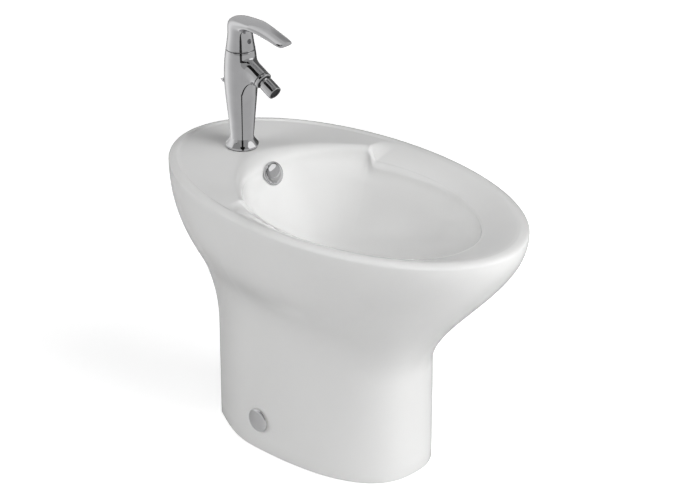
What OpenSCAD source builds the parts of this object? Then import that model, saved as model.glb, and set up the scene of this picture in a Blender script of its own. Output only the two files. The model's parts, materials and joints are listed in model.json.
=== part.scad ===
// Floor standing bidet with a deck mounted mixer tap and a pop-up waste.
// Front of the bidet is -Y, the wall side is +Y, the floor is z = 0.

/* [Rim and deck] */
// Length of the rim, front to back
rim_len = 600; // [570:1:640]
// Width of the rim
rim_w = 354; // [335:1:380]
// Height of the rim above the floor
rim_h = 400; // [385:1:420]
// Drop from the crest to the widest line of the rim
crest_drop = 6; // [4:0.5:10]
// How far the rounded crest lies inside the widest line
crest_in = 12; // [8:0.5:16]
// Drop from the crest to the level tap deck
deck_drop = 1.5; // [0.5:0.25:3]
// Thickness of the tap deck
deck_t = 12.5; // [9:0.5:16]
// Fall of the seat ring towards the bowl
seat_fall = 18; // [8:0.5:24]
// Distance of the shoulders behind the rim centre
shoulder_y = 67; // [50:1:85]
// Extra half width of the deck edge at the shoulders
shoulder_out = 15; // [0:0.5:18]

/* [Bowl] */
// Front edge of the bowl mouth, in front of the rim centre
mouth_front = 224; // [205:1:240]
// Back edge of the bowl mouth, behind the rim centre
mouth_back = 162; // [150:1:168]
// Half width of the bowl mouth
mouth_half = 125; // [112:1:134]
// Depth of the bowl below the crest
bowl_depth = 133; // [120:1:140]
// Thickness of the bowl wall
bowl_t = 11; // [8:0.5:13]
// Distance of the waste behind the rim centre
waste_y = 25; // [15:1:32]
// Radius of the rounded lip of the bowl
lip_r = 4; // [2:0.5:6]
// How far the deck's lip rolls forward at the back of the bowl
lip_back = 17; // [15:0.5:18]

/* [Foot] */
// Flat back of the foot, behind the rim centre
foot_back = 183; // [172:1:190]
// Half width of the flat back
foot_back_half = 71; // [62:1:80]
// Half width of the foot
foot_half = 106.5; // [98:0.5:114]
// Widest place of the foot, behind the rim centre
foot_wide_y = 78; // [70:1:90]
// Nose of the foot, in front of the rim centre
foot_front = 138; // [125:1:150]
// Squareness of the foot's nose
foot_square = 2.5; // [2:0.1:3.2]
// Thickness of the foot wall
foot_t = 13; // [9:0.5:16]
// Height of the straight foot at the front
waist_front = 151; // [130:1:165]
// Height of the straight foot at the back
waist_back = 147; // [130:1:160]
// Height of the straight foot at the sides
waist_side = 175; // [150:1:185]
// Half width of the opening in the back of the foot
back_gap_half = 46; // [36:1:50]
// Height of the opening in the back of the foot
back_gap_h = 296; // [270:1:300]

/* [Side fixings] */
// Height of the side screws
side_z = 50; // [40:1:70]
// Place of the side screws, behind the rim centre
side_y = 64; // [55:1:85]
// Radius of the side screws
side_screw_r = 3.9; // [3:0.1:4.5]
// Radius of the screw caps
cap_r = 17.5; // [14:0.5:20]
// Height of the domed screw caps
cap_h = 7; // [5.5:0.5:9]
// Thickness of the cap bases
cap_base_t = 1.6; // [1:0.1:2.5]
// Width of the floor brackets
bracket_w = 28; // [22:1:34]
// Thickness of the floor brackets
bracket_t = 3; // [2:0.25:4]
// Height of the floor brackets
bracket_h = 66; // [62:1:85]
// Distance of the floor hole from the bracket's leg
bracket_hole_in = 25; // [18:1:32]
// Length of a bracket's foot
bracket_len = 44; // [38:1:50]
// Radius of the floor holes
floor_hole_r = 4; // [3:0.1:5]

/* [Tap body] */
// Tap axis, behind the rim centre
tap_y = 202; // [198:1:212]
// Radius of the tap hole in the deck
tap_hole_r = 17.5; // [17:0.25:18.5]
// Thickness of the gasket under the tap
gasket_t = 1.2; // [0.8:0.1:2]
// Radius of the tap's base ring
base_r = 23.5; // [22.5:0.25:26]
// Height of the tap's base ring
base_h = 3; // [2:0.5:5]
// Radius of the tap's neck
neck_r = 16.3; // [16:0.1:18]
// Height of the neck
neck_h = 15; // [12:0.5:17]
// Largest radius of the tap body
belly_r = 24; // [23:0.25:26]
// Height of the largest radius
belly_h = 101; // [96:1:108]
// Radius of the tap body at its top
top_r = 20.8; // [20.4:0.1:22]
// Height of the tap body
body_h = 147; // [140:1:150]
// Radius of the two supply sockets
inlet_r = 4.5; // [4:0.1:5]
// Depth of the supply sockets
inlet_len = 18; // [12:1:22]
// Distance of each supply socket from the centre plane
inlet_x = 8.2; // [7.5:0.1:9]
// Distance of the supply sockets in front of the tap axis
inlet_in = 2; // [0:0.5:4]
// Radius of the fixing stud
stud_r = 3; // [2.5:0.1:3.4]
// Distance of the fixing stud in front of the tap axis
stud_in = 11; // [10:0.5:12]
// Thickness of the rubber horseshoe washer
shoe_rubber_t = 3; // [2:0.5:5]
// Thickness of the metal horseshoe washer
shoe_plate_t = 2; // [1:0.25:3]
// Length of the stud nut
stud_nut_h = 10; // [6:1:14]

/* [Lever] */
// Depth of the lever pivot below the top of the tap body
pivot_in = 14; // [13:0.5:15]
// Height of the lever above the top of the tap body
lever_top = 47.8; // [46:0.2:54]
// Reach of the lever in front of the tap axis
lever_reach = 91; // [76:1:100]
// Height of the lever tip below its top
lever_fall = 13; // [9:0.5:18]
// Half width of the lever blade
blade_half = 13.25; // [10:0.25:14.5]
// Thickness of the lever at its tip
blade_t = 7.5; // [5:0.25:9]
// Half width of the handle where the blade starts
cap_top_r = 17.5; // [16.5:0.25:18.5]
// Radius of the lever stem
stem_r = 4; // [3.5:0.1:4.3]
// Radius of the stem's cross pin
stem_pin_r = 1.5; // [1.2:0.1:1.8]
// Radius of the mixing cartridge
cart_r = 14.1; // [13.5:0.1:14.6]
// Gap between the handle and the dome under it
dome_gap = 0.35; // [0.3:0.05:0.6]

/* [Jet] */
// Distance of the jet collar in front of the tap axis
jet_out = 47; // [44:1:52]
// Height of the jet collar above the deck gasket
jet_h = 110; // [106:1:113]
// Slope of the jet below the horizontal
jet_drop = 27.4; // [20:0.5:35]
// Radius of the jet collar
collar_r = 13; // [12.5:0.25:14]
// Radius of the jet's ball
ball_r = 8.2; // [8:0.1:8.8]
// Radius of the nozzle
nozzle_r = 10.3; // [9.8:0.1:10.6]
// Distance from the collar's face to the end of the nozzle
nozzle_len = 24.6; // [22:0.5:30]

/* [Pop-up control] */
// Height of the lift knob above the deck gasket
knob_h = 89; // [86:1:91]
// Travel of the lift knob
lift_travel = 28; // [20:1:28]
// Distance of the lift rod behind the tap axis
rod_out = 12; // [11.5:0.25:12.5]
// Radius of the lift rod
rod_r = 2.4; // [2:0.1:2.5]
// Distance of the knob's tip behind the tap axis
knob_tip = 41; // [36:1:46]
// Length of the lift rod below the deck
rod_below = 66; // [55:1:75]
// Width of the link strap
strap_w = 10; // [8:0.5:14]
// Thickness of the link strap
strap_t = 1.5; // [1:0.1:2.5]
// Radius of the pivot rod
pivot_r = 1.8; // [1.5:0.1:2.2]
// Radius of the pivot rod's ball
pivot_ball_r = 6; // [5:0.25:6.5]
// Distance from the waste axis to the pivot ball
pivot_arm = 32; // [31:0.5:35]
// Depth of the pivot ball below the bowl's floor
pivot_down = 69; // [67:1:74]

/* [Waste] */
// Radius of the waste flange
flange_r = 31; // [29:0.5:32]
// Thickness of the waste flange
flange_t = 3; // [2.5:0.25:4]
// Outer radius of the waste tube
tube_r = 20.5; // [20:0.1:21]
// Wall thickness of the waste tube
tube_t = 2.5; // [2:0.1:2.8]
// Length of the waste tube
tube_len = 60; // [58:1:62]
// Radius of the waste hole in the ceramic
waste_hole_r = 22.5; // [22:0.25:24]
// Height of ceramic round the waste hole
waste_boss_h = 32; // [26:1:34]
// Thickness of the rubber cone washer
cone_t = 6; // [4:0.5:8]
// Thickness of the waste washer
washer_t = 2; // [1:0.25:3]
// Height of the waste back nut
back_nut_h = 10; // [8:0.5:12]
// Height of the waste body
body_len = 58; // [54:1:66]
// Radius of the tailpiece
tail_r = 16; // [15.5:0.1:16.5]
// Length of the tailpiece
tail_len = 65; // [55:1:90]
// How much slimmer the tailpiece is inside its nut
tail_neck = 0.5; // [0.4:0.1:0.9]
// Radius of the plug's cap
plug_r = 20.5; // [19.5:0.25:23]

/* [Overflow] */
// Place of the overflow, behind the rim centre
over_y = 140.5; // [140:0.25:141]
// Depth of the overflow below the crest
over_down = 25.5; // [25:0.25:26.5]
// Slope of the overflow's axis above the horizontal
over_tilt = 23; // [21:0.2:25]
// Radius of the overflow bore
over_r = 9; // [7:0.5:10]
// Radius of the overflow cover
cover_r = 16.8; // [15.8:0.2:17.4]
// Height of the overflow cover
cover_h = 7; // [6:0.5:9]

/* [Fits] */
// Running gap between a pin or rod and its bore
run_gap = 0.05; // [0.02:0.01:0.08]
// Clear gap between pieces that move apart
air_gap = 0.3; // [0.2:0.05:0.5]

/* [Hidden] */

white = [0.93, 0.93, 0.92];
chrome = [0.72, 0.73, 0.75];
brass = [0.78, 0.65, 0.38];
rubber = [0.12, 0.12, 0.13];
plastic = [0.86, 0.86, 0.84];
steel = [0.62, 0.63, 0.65];

eps = 0.01;
deck_z = rim_h - deck_drop;
deck_under = deck_z - deck_t;
tap_z = deck_z + gasket_t;
crest_z = rim_h - crest_drop;
floor_z = rim_h - bowl_depth;
mouth_y = (mouth_back - mouth_front) / 2;
mouth_len = (mouth_back + mouth_front) / 2;

// Ceramic: one skin of rings, from under the bowl out to the rim and back into the bowl

// Ring angles: the deck side, a close pair at the shoulder, the seat side, and their mirror
rim_turn = acos(2 * shoulder_y / rim_len);
mouth_turn = acos((shoulder_y - mouth_y) / mouth_len);
shoulder_step = 2.6;
deck_steps = 10;
seat_steps = 16;
half_turns = concat([for (i = [0:deck_steps]) rim_turn * i / deck_steps],
    [for (i = [0:seat_steps]) rim_turn + shoulder_step + (180 - rim_turn - shoulder_step) * i / seat_steps]);
half_n = len(half_turns);
turns = concat(half_turns, [for (i = [half_n - 2:-1:1]) 360 - half_turns[i]]);

function side(t) = t > 180 ? -1 : 1;
function fold(t) = t > 180 ? 360 - t : t;
function mix(a, b, k) = a + (b - a) * k;
function on_deck(t) = fold(t) <= rim_turn + eps;
function front_part(t) = cos(t) < 0 ? cos(t) * cos(t) : 0;
function back_part(t) = cos(t) > 0 ? cos(t) * cos(t) : 0;
function blend(t, f, b, s) = front_part(t) * f + back_part(t) * b + (1 - front_part(t) - back_part(t)) * s;
function power(v, p) = v <= 0 ? 0 : pow(v, p);

// Rim outline, drawn in by g
function rim_at(t, g) = [(rim_w / 2 - g) * sin(t), (rim_len / 2 - g) * cos(t)];

// Foot outline, drawn in by g: flat back, rounded sides, squarish nose
back_turn = 30;
wide_turn = 75;
function foot_half_at(a, g) =
    a <= back_turn ? [(foot_back_half - g) * a / back_turn, foot_back - g]
    : a <= wide_turn ? let (q = (a - back_turn) / (wide_turn - back_turn))
        [foot_back_half - g + (foot_half - foot_back_half) * sin(90 * q), mix(foot_back - g, foot_wide_y, q)]
    : let (q = 90 * (a - wide_turn) / (180 - wide_turn))
        [(foot_half - g) * power(cos(q), 2 / foot_square),
         foot_wide_y - (foot_wide_y + foot_front - g) * power(sin(q), 2 / foot_square)];
function foot_at(t, g) = let (p = foot_half_at(fold(t), g)) [side(t) * p[0], p[1]];

// Outer wall: straight foot, waist and flare up to the widest line
flare_low = [74, 108, 107];
flare_high = [70, 106, 133];
function waist_z(t) = blend(t, waist_front, waist_back, waist_side);
function cubic(a, b, c, d, k) = pow(1 - k, 3) * a + 3 * pow(1 - k, 2) * k * b + 3 * (1 - k) * k * k * c + k * k * k * d;
function wall_z(t, k) = cubic(waist_z(t), waist_z(t) + blend(t, flare_low[0], flare_low[1], flare_low[2]),
    crest_z - blend(t, flare_high[0], flare_high[1], flare_high[2]), crest_z, k);
function wall_at(t, k, g) = let (w = cubic(0, 0, 1, 1, k)) foot_at(t, g) * (1 - w) + rim_at(t, g) * w;

// Bowl mouth, wider along the deck edge towards the shoulders
function mouth_angle(t) = fold(t) <= rim_turn + eps ? fold(t) * mouth_turn / rim_turn
    : mouth_turn + (fold(t) - rim_turn) * (180 - mouth_turn) / (180 - rim_turn);
function mouth_at(t) = let (s = mouth_angle(t), o = on_deck(t) ? shoulder_out * pow(s / mouth_turn, 3) : 0)
    [side(t) * (mouth_half * sin(s) + o), mouth_y + mouth_len * cos(s)];
function edge_z(t) = on_deck(t) ? deck_z : rim_h - seat_fall;
function roll(t) = lip_back * pow(back_part(t), 1.5);
function lip_at(t, a) = [mouth_r(t) + lip_r - (lip_r + roll(t)) * sin(a), edge_z(t) - (lip_r + roll(t) / 2) * (1 - cos(a))];

// Bowl profile along a line from the mouth to the waste: [distance from the waste, height].
// The shoulders only shape its top, so the wall runs on smoothly below them.
function mouth_r(t) = norm(mouth_at(t) - [0, waste_y]);
function past(t) = fold(t) <= rim_turn - 12 ? 0 : on_deck(t) ? (fold(t) - rim_turn + 12) / 12 : 1;
function wall_r(t) = mouth_r(t) - roll(t) - (on_deck(t) ? 0.85 * shoulder_out * pow(mouth_angle(t) / mouth_turn, 3) : 0);
function wall_top(t) = mix(deck_z, rim_h - seat_fall, past(t)) - lip_r - roll(t) / 2;
function bowl_lean(t) = blend(t, 10, 23, 6);
function bowl_drop(t) = blend(t, 52, 64, 62);
function bowl_flat(t) = blend(t, 0.62, 0.36, 0.6);
function bowl_rz(t, k) = let (w = wall_r(t), z = wall_top(t))
    [cubic(w, w - bowl_lean(t), w * bowl_flat(t), 0, k), cubic(z, z - bowl_drop(t), floor_z, floor_z, k)];
function bowl_under(t, k) = let (p = bowl_rz(t, k), q = bowl_rz(t, k + 0.01) - p, n = [-q[1], q[0]] / norm(q))
    p + n * bowl_t;
function on_ray(t, p) = let (m = mouth_at(t), c = [0, waste_y], u = (m - c) / norm(m - c))
    [u[0] * p[0], c[1] + u[1] * p[0], p[1]];

// The seat ring falls towards the bowl, the deck stays level
function top_z(t, f) = on_deck(t) ? deck_z : mix(rim_h - 0.6, rim_h - seat_fall, pow(f, 1.15));
function top_at(t, f) = let (a = rim_at(t, crest_in + 4), m = mouth_at(t), c = [0, waste_y],
    b = m + (m - c) / norm(m - c) * lip_r) a * (1 - f) + b * f;
function under_z(t, f) = top_z(t, f) - deck_t;

under_steps = 8;
inner_steps = 9;
outer_steps = 14;
bowl_steps = 11;
inner_top = 0.86;
function ring3(f) = [for (t = turns) f(t)];
rings = concat(
    [for (i = [1:under_steps]) [for (t = turns) on_ray(t, bowl_under(t, 1 - 0.92 * i / under_steps))]],
    [[for (t = turns) let (p = on_ray(t, [mouth_r(t) + bowl_t, 0])) [p[0], p[1], under_z(t, 1)]]],
    [[for (t = turns) let (p = wall_at(t, inner_top, foot_t + 6)) [p[0], p[1], min(under_z(t, 0.15), wall_z(t, 0.96))]]],
    [for (i = [inner_steps:-1:0]) [for (t = turns) let (k = inner_top * i / inner_steps, p = wall_at(t, k, foot_t))
        [p[0], p[1], min(wall_z(t, k), deck_under - 8)]]],
    [[for (t = turns) let (p = foot_at(t, foot_t)) [p[0], p[1], 0]]],
    [[for (t = turns) let (p = foot_at(t, 0)) [p[0], p[1], 0]]],
    [for (i = [0:outer_steps]) [for (t = turns) let (k = i / outer_steps, p = wall_at(t, k, 0))
        [p[0], p[1], wall_z(t, k)]]],
    [for (a = [30, 60, 90]) [for (t = turns) let (p = rim_at(t, crest_in * (1 - cos(a))))
        [p[0], p[1], crest_z + crest_drop * sin(a)]]],
    [for (f = [0, 0.5, 1]) [for (t = turns) let (p = top_at(t, f)) [p[0], p[1], top_z(t, f)]]],
    [for (a = [30, 60, 90]) [for (t = turns) on_ray(t, lip_at(t, a))]],
    [for (i = [0:bowl_steps - 1]) [for (t = turns) on_ray(t, bowl_rz(t, mix(0.07, 1, i / bowl_steps)))]]);

module skin(rows, low, high) {
    n = len(rows[0]);
    m = len(rows);
    points = concat([low], [for (r = rows) each r], [high]);
    faces = concat(
        [for (j = [0:n - 1]) [0, 1 + (j + 1) % n, 1 + j]],
        [for (i = [0:m - 2]) for (j = [0:n - 1]) let (a = 1 + i * n + j, b = 1 + i * n + (j + 1) % n)
            each [[a, b, b + n], [a, b + n, a + n]]],
        [for (j = [0:n - 1]) [1 + m * n, 1 + (m - 1) * n + j, 1 + (m - 1) * n + (j + 1) % n]]);
    polyhedron(points = points, faces = faces, convexity = 6);
}

over_z = rim_h - over_down;
waste_under = floor_z - flange_t - waste_boss_h + flange_t;
duct_top = [0, over_y + 28, over_z - 27];
duct_low = [0, waste_y + 20, waste_under + 11];
duct_r = 6.5;

module along(a, b, r) {
    d = b - a;
    translate(a) rotate([0, acos(d[2] / norm(d)), atan2(d[1], d[0])]) cylinder(r = r, h = norm(d), $fn = 48);
}

module at_overflow() {
    translate([0, over_y, over_z]) rotate([90 - over_tilt, 0, 0]) children();
}

module both_sides() {
    for (s = [-1, 1]) translate([s * foot_half, side_y, side_z]) rotate([0, 90 * s, 0]) children();
}

cap_face = -0.5;

module ceramic_body() {
    color(white) difference() {
        union() {
            skin(rings, [0, waste_y, floor_z - bowl_t], [0, waste_y, floor_z]);
            translate([0, waste_y, waste_under]) cylinder(r = flange_r + 8, h = waste_boss_h - 7, $fn = 64);
            along(duct_top, duct_low, duct_r + 7);
            along(duct_top, [0, over_y + 9 * cos(over_tilt), over_z - 9 * sin(over_tilt)], over_r + 4);
        }
        translate([0, waste_y, waste_under - 1]) cylinder(r = waste_hole_r, h = waste_boss_h + 9, $fn = 64);
        translate([0, waste_y, floor_z - flange_t]) cylinder(r = flange_r + 2, h = 20, $fn = 72);
        translate([0, tap_y, deck_under - 1]) cylinder(r = tap_hole_r, h = deck_t + 5, $fn = 64);
        translate([0, tap_y, deck_under - 12]) cylinder(r = base_r + 1, h = 12, $fn = 64);
        along(duct_top, duct_low, duct_r);
        along(duct_top, [0, over_y + 10 * cos(over_tilt), over_z - 10 * sin(over_tilt)], over_r - 2);
        at_overflow() translate([0, 0, -15]) cylinder(r = over_r, h = 17, $fn = 48);
        at_overflow() cylinder(r = cover_r + 0.6, h = 14, $fn = 64);
        back_opening();
        both_sides() translate([0, 0, -foot_t - 4]) cylinder(r = side_screw_r + 1.2, h = foot_t + 8, $fn = 40);
        both_sides() translate([0, 0, cap_face]) cylinder(r = cap_r + 1, h = 6, $fn = 64);
    }
}

module back_opening() {
    translate([0, foot_back + 117, 0]) rotate([90, 0, 0]) linear_extrude(height = 147) {
        translate([-back_gap_half, -1]) square([2 * back_gap_half, back_gap_h - back_gap_half + 1]);
        translate([0, back_gap_h - back_gap_half]) circle(r = back_gap_half, $fn = 96);
    }
}

// Tap body

function body_r(h) = let (v = (h - neck_h) / (belly_h - neck_h), w = (h - belly_h) / (body_h - belly_h))
    h <= belly_h ? neck_r + (belly_r - neck_r) * (1.12 * v - 0.12 * pow(v, 3))
    : belly_r - (belly_r - top_r) * pow(w, 2.3);
flare_steps = 6;
body_profile = concat([[0, 0], [base_r - 0.6, 0], [base_r, 0.6], [base_r, base_h]],
    [for (i = [1:flare_steps - 1]) let (a = 90 * i / flare_steps)
        [neck_r + (base_r - neck_r) * (1 - sin(a)), base_h + (neck_h - base_h) * (1 - cos(a)) * 0.55
            + (neck_h - base_h) * 0.45 * i / flare_steps]],
    [for (i = [0:14]) let (h = neck_h + (body_h - neck_h) * i / 14) [body_r(h), h]],
    [[0, body_h]]);

jet_back = 11.2;
branch_steps = 9;
branch_n = 32;
socket_r = ball_r + 1.8;

// Branch section k: centre, tilt and half sizes run from a tall oval in the body to the round collar
function branch_ring(k) = let (e = pow(1 - k, 1.7), c = [0, mix(12, jet_out - 4.8 * cos(jet_drop), k),
        mix(jet_h + 1, jet_h + 4.8 * sin(jet_drop), k)],
    a = mix(0, jet_drop, k), hw = mix(collar_r, 19, e), hh = mix(collar_r, 31, e))
    [for (j = [0:branch_n - 1]) let (q = 360 * j / branch_n, x = hw * sin(q), v = hh * cos(q))
        [x, tap_y - c[1] - v * sin(a), tap_z + c[2] + v * cos(a)]];

module at_jet() {
    translate([0, tap_y - jet_out, tap_z + jet_h]) rotate([90 + jet_drop, 0, 0]) children();
}

module tap_body() {
    color(chrome) difference() {
        union() {
            translate([0, tap_y, tap_z]) rotate_extrude($fn = 96) polygon(body_profile);
            skin([for (i = [0:branch_steps]) branch_ring(i / branch_steps)],
                [0, tap_y - 12, tap_z + jet_h + 1],
                [0, tap_y - jet_out + 4.8 * cos(jet_drop), tap_z + jet_h + 4.8 * sin(jet_drop)]);
        }
        translate([0, tap_y + rod_out, tap_z - 1])
            cylinder(r = rod_r + air_gap, h = knob_h + 9, $fn = 32);
        translate([-knob_r - 0.2, tap_y + rod_out, tap_z + knob_h - lift_travel - knob_r - air_gap])
            cube([2 * knob_r + 0.4, 40, lift_travel + 2 * knob_r + 2 * air_gap]);
        for (s = [-1, 1]) translate([s * inlet_x, tap_y - inlet_in, tap_z]) {
            translate([0, 0, -1]) cylinder(r = inlet_r, h = inlet_len + 1, $fn = 40);
            translate([0, 0, -eps]) cylinder(r1 = inlet_r + 0.8, r2 = inlet_r, h = 0.8, $fn = 40);
        }
        translate([0, tap_y - stud_in, tap_z - 1]) cylinder(r = stud_r + run_gap, h = 15, $fn = 32);
        translate([0, tap_y, tap_z + body_h - cart_h]) cylinder(r = cart_r + run_gap, h = cart_h + 1, $fn = 64);
        translate([0, tap_y, tap_z + body_h - ring_h]) cylinder(r = ring_r + run_gap, h = ring_h + 1, $fn = 64);
        at_jet() translate([0, 0, -jet_back]) cylinder(r = socket_r + run_gap, h = jet_back + 1, $fn = 48);
        at_jet() translate([0, 0, -jet_back - 26]) cylinder(r = 3, h = 27, $fn = 24);
    }
}

module base_gasket() {
    color(rubber) translate([0, tap_y, deck_z]) difference() {
        cylinder(r = base_r - 1, h = gasket_t, $fn = 72);
        translate([0, 0, -1]) cylinder(r = tap_hole_r, h = gasket_t + 2, $fn = 64);
    }
}

// Fixing under the deck

module fixing_stud() {
    len = gasket_t + deck_t + shoe_rubber_t + shoe_plate_t + stud_nut_h + 6;
    color(steel) translate([0, tap_y - stud_in, tap_z - len]) cylinder(r = stud_r, h = len + 13, $fn = 32);
}

module horseshoe(t) {
    difference() {
        linear_extrude(height = t) difference() {
            circle(r = base_r - 0.5, $fn = 64);
            intersection() {
                circle(r = inlet_x + inlet_r + 1, $fn = 48);
                translate([-20, -stud_in + stud_r + 1.4]) square([40, 60]);
            }
            translate([-inlet_x - 1, 4]) square([2 * inlet_x + 2, 30]);
        }
        translate([0, -stud_in, -1]) cylinder(r = stud_r + 0.2, h = t + 2, $fn = 32);
    }
}

module fixing_rubber() {
    color(rubber) translate([0, tap_y, deck_under - shoe_rubber_t]) horseshoe(shoe_rubber_t);
}

module fixing_plate() {
    color(steel) translate([0, tap_y, deck_under - shoe_rubber_t - shoe_plate_t]) horseshoe(shoe_plate_t);
}

module fixing_nut() {
    color(brass) translate([0, tap_y - stud_in, deck_under - shoe_rubber_t - shoe_plate_t - stud_nut_h])
        difference() {
            cylinder(r = stud_r + 2.4, h = stud_nut_h, $fn = 6);
            translate([0, 0, -1]) cylinder(r = stud_r + run_gap, h = stud_nut_h + 2, $fn = 32);
        }
}

// Mixing cartridge and lever

cart_h = 32;
ring_h = 10;
ring_r = cart_r + 2.8;
pivot_z = tap_z + body_h - pivot_in;
carrier_r = cart_r - 3.6;
carrier_h = cart_h - ring_h - 6.2;
stem_low = 7.5;
stem_high = 42;
ring_in = carrier_r + 0.5;

module cartridge_housing() {
    color(plastic) translate([0, tap_y, tap_z + body_h - cart_h]) difference() {
        cylinder(r = cart_r, h = cart_h - ring_h, $fn = 64);
        translate([0, 0, 6]) cylinder(r = carrier_r + 0.1, h = cart_h, $fn = 64);
    }
}

module cartridge_ring() {
    color(brass) translate([0, tap_y, tap_z + body_h - ring_h]) difference() {
        cylinder(r = ring_r, h = ring_h - 0.1, $fn = 64);
        translate([0, 0, -1]) cylinder(r = ring_in, h = ring_h + 2, $fn = 64);
        for (a = [45:90:315]) rotate([0, 0, a]) translate([ring_in - 1, -2, ring_h - 4]) cube([10, 4, 10]);
    }
}

module cartridge_carrier() {
    color(plastic) translate([0, tap_y, 0]) difference() {
        translate([0, 0, tap_z + body_h - cart_h + 6.1]) cylinder(r = carrier_r, h = carrier_h, $fn = 64);
        translate([-stem_r - 0.2, -20, pivot_z - stem_low - 2]) cube([2 * stem_r + 0.4, 40, 40]);
        translate([-20, 0, pivot_z]) rotate([0, 90, 0]) cylinder(r = stem_pin_r + run_gap, h = 40, $fn = 32);
    }
}

dome_r = norm([top_r - 0.1, pivot_in]);

module dome_cap() {
    color(chrome) translate([0, tap_y, 0]) difference() {
        intersection() {
            translate([0, 0, pivot_z]) sphere(r = dome_r, $fn = 96);
            translate([0, 0, tap_z + body_h]) cylinder(r = top_r, h = 6, $fn = 96);
        }
        translate([0, 0, pivot_z]) cylinder(r = stem_r + 10.5, h = 40, $fn = 64);
    }
}

module lever_stem() {
    color(steel) translate([0, tap_y, pivot_z]) {
        translate([0, 0, -stem_low]) cylinder(r = stem_r, h = stem_low + stem_high, $fn = 40);
        translate([-carrier_r + 0.6, 0, 0]) rotate([0, 90, 0])
            cylinder(r = stem_pin_r, h = 2 * carrier_r - 1.2, $fn = 32);
    }
}

// Handle: rings rise from the joint, fan round the inner corner and run out along the blade.
// Each ring is a plane with its inner point p, a direction up and back, a thickness and a half width.
top_z_lever = tap_z + body_h + lever_top;
root_t = 12;
corner = [tap_y - cap_top_r, tap_z + body_h + lever_top - root_t];
skirt_z = tap_z + body_h + 0.35;
rise_steps = 4;
fan_steps = 8;
blade_steps = 8;
fan_end = 97;
blade_end = 108;
arch = 8;
handle_n = 36;

function fan_d(a) = pow(pow(abs(cos(a)) / (2 * cap_top_r), 3.2) + pow(abs(sin(a)) / root_t, 3.2), -1 / 3.2);
root_out = 3.4;
function fan_w(a) = mix(cap_top_r, blade_half + root_out, power(sin(min(a, 90)), 4));
function blade_inner(k) = let (y0 = corner[0], z0 = corner[1], y1 = tap_y - lever_reach, z1 = top_z_lever - lever_fall - blade_t)
    [mix(y0, y1, k), mix(z0, z1, k) + arch * sin(180 * k) * power(1 - k, 0.6)];
function blade_angle(k) = mix(fan_end, blade_end, k);
function blade_thick(k) = mix(fan_d(fan_end), blade_t, pow(k, 0.8));
function tip_in(k) = k < 0.86 ? 1 : 1 - 0.2 * pow((k - 0.86) / 0.14, 2.4);

// Section: superellipse of thickness d and half width w, standing on the inner point p
function handle_ring(p, a, d, w, n) = [for (j = [0:handle_n - 1])
    let (q = -360 * j / handle_n, c = cos(q), s = sin(q),
        u = d / 2 * (1 - sign(c) * power(abs(c), 2 / n)), x = w * sign(s) * power(abs(s), 2 / n))
    [x, p[0] + u * cos(a), p[1] + u * sin(a)]];

handle_rings = concat(
    [for (i = [0:rise_steps]) let (k = i / rise_steps, r = mix(top_r, cap_top_r, pow(k, 0.9)),
        z = mix(skirt_z, corner[1] - 3, k)) handle_ring([tap_y - r, z], 0, 2 * r, r, 2)],
    [for (i = [1:fan_steps]) let (a = fan_end * i / fan_steps)
        handle_ring(corner, a, fan_d(a), fan_w(a), mix(2, 2.5, min(1, a / 90)))],
    [for (i = [1:blade_steps]) let (k = i / blade_steps)
        handle_ring(blade_inner(k), blade_angle(k), blade_thick(k),
            (blade_half + root_out * pow(1 - k, 2)) * tip_in(k), 2.6)]);

grub_z = tap_z + 162;
grub_r = 2.4;
plug_dot_r = 3.4;

module lever_handle() {
    color(chrome) difference() {
        skin(handle_rings, [0, tap_y, skirt_z],
            [0, blade_inner(1)[0] + blade_t / 2 * cos(blade_end), blade_inner(1)[1] + blade_t / 2 * sin(blade_end)]);
        translate([0, tap_y, pivot_z]) sphere(r = dome_r + dome_gap, $fn = 96);
        translate([0, tap_y, pivot_z]) cylinder(r = stem_r + run_gap, h = stem_high + 0.5, $fn = 40);
        translate([0, tap_y, grub_z]) rotate([90, 0, 0]) cylinder(r = grub_r + run_gap, h = 40, $fn = 32);
        translate([0, tap_y - cap_top_r + 2, grub_z]) rotate([90, 0, 0])
            cylinder(r = plug_dot_r + run_gap, h = 20, $fn = 40);
    }
}

module grub_screw() {
    color(steel) translate([0, tap_y - stem_r, grub_z]) rotate([90, 0, 0]) difference() {
        cylinder(r = grub_r, h = 10, $fn = 32);
        translate([0, 0, 7]) cylinder(r = 1.3, h = 5, $fn = 6);
    }
}

module indicator_plug() {
    color([0.45, 0.45, 0.48]) translate([0, tap_y - cap_top_r + 2, grub_z]) rotate([90, 0, 0])
        cylinder(r = plug_dot_r, h = 2.6, $fn = 40);
}

// Jet

ball_in = 3;

module jet_collar() {
    color(chrome) at_jet() difference() {
        union() {
            rotate_extrude($fn = 72) polygon([[0, -4.8], [collar_r, -4.8], [collar_r, -0.8],
                [collar_r - 0.8, 0], [0, 0]]);
            translate([0, 0, 0.4 - jet_back]) cylinder(r = socket_r, h = jet_back - 2.4, $fn = 48);
        }
        translate([0, 0, -ball_in]) sphere(r = ball_r + 0.1, $fn = 64);
        translate([0, 0, -jet_back]) cylinder(r = ball_r + 0.5, h = jet_back - ball_in, $fn = 48);
    }
}

module jet_seat() {
    color(plastic) at_jet() difference() {
        translate([0, 0, 0.5 - jet_back]) cylinder(r = ball_r + 0.42, h = jet_back - ball_in - 1.1, $fn = 48);
        translate([0, 0, -ball_in]) sphere(r = ball_r + run_gap, $fn = 64);
        translate([0, 0, -jet_back - 1]) cylinder(r = 4.5, h = jet_back, $fn = 32);
    }
}

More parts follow.
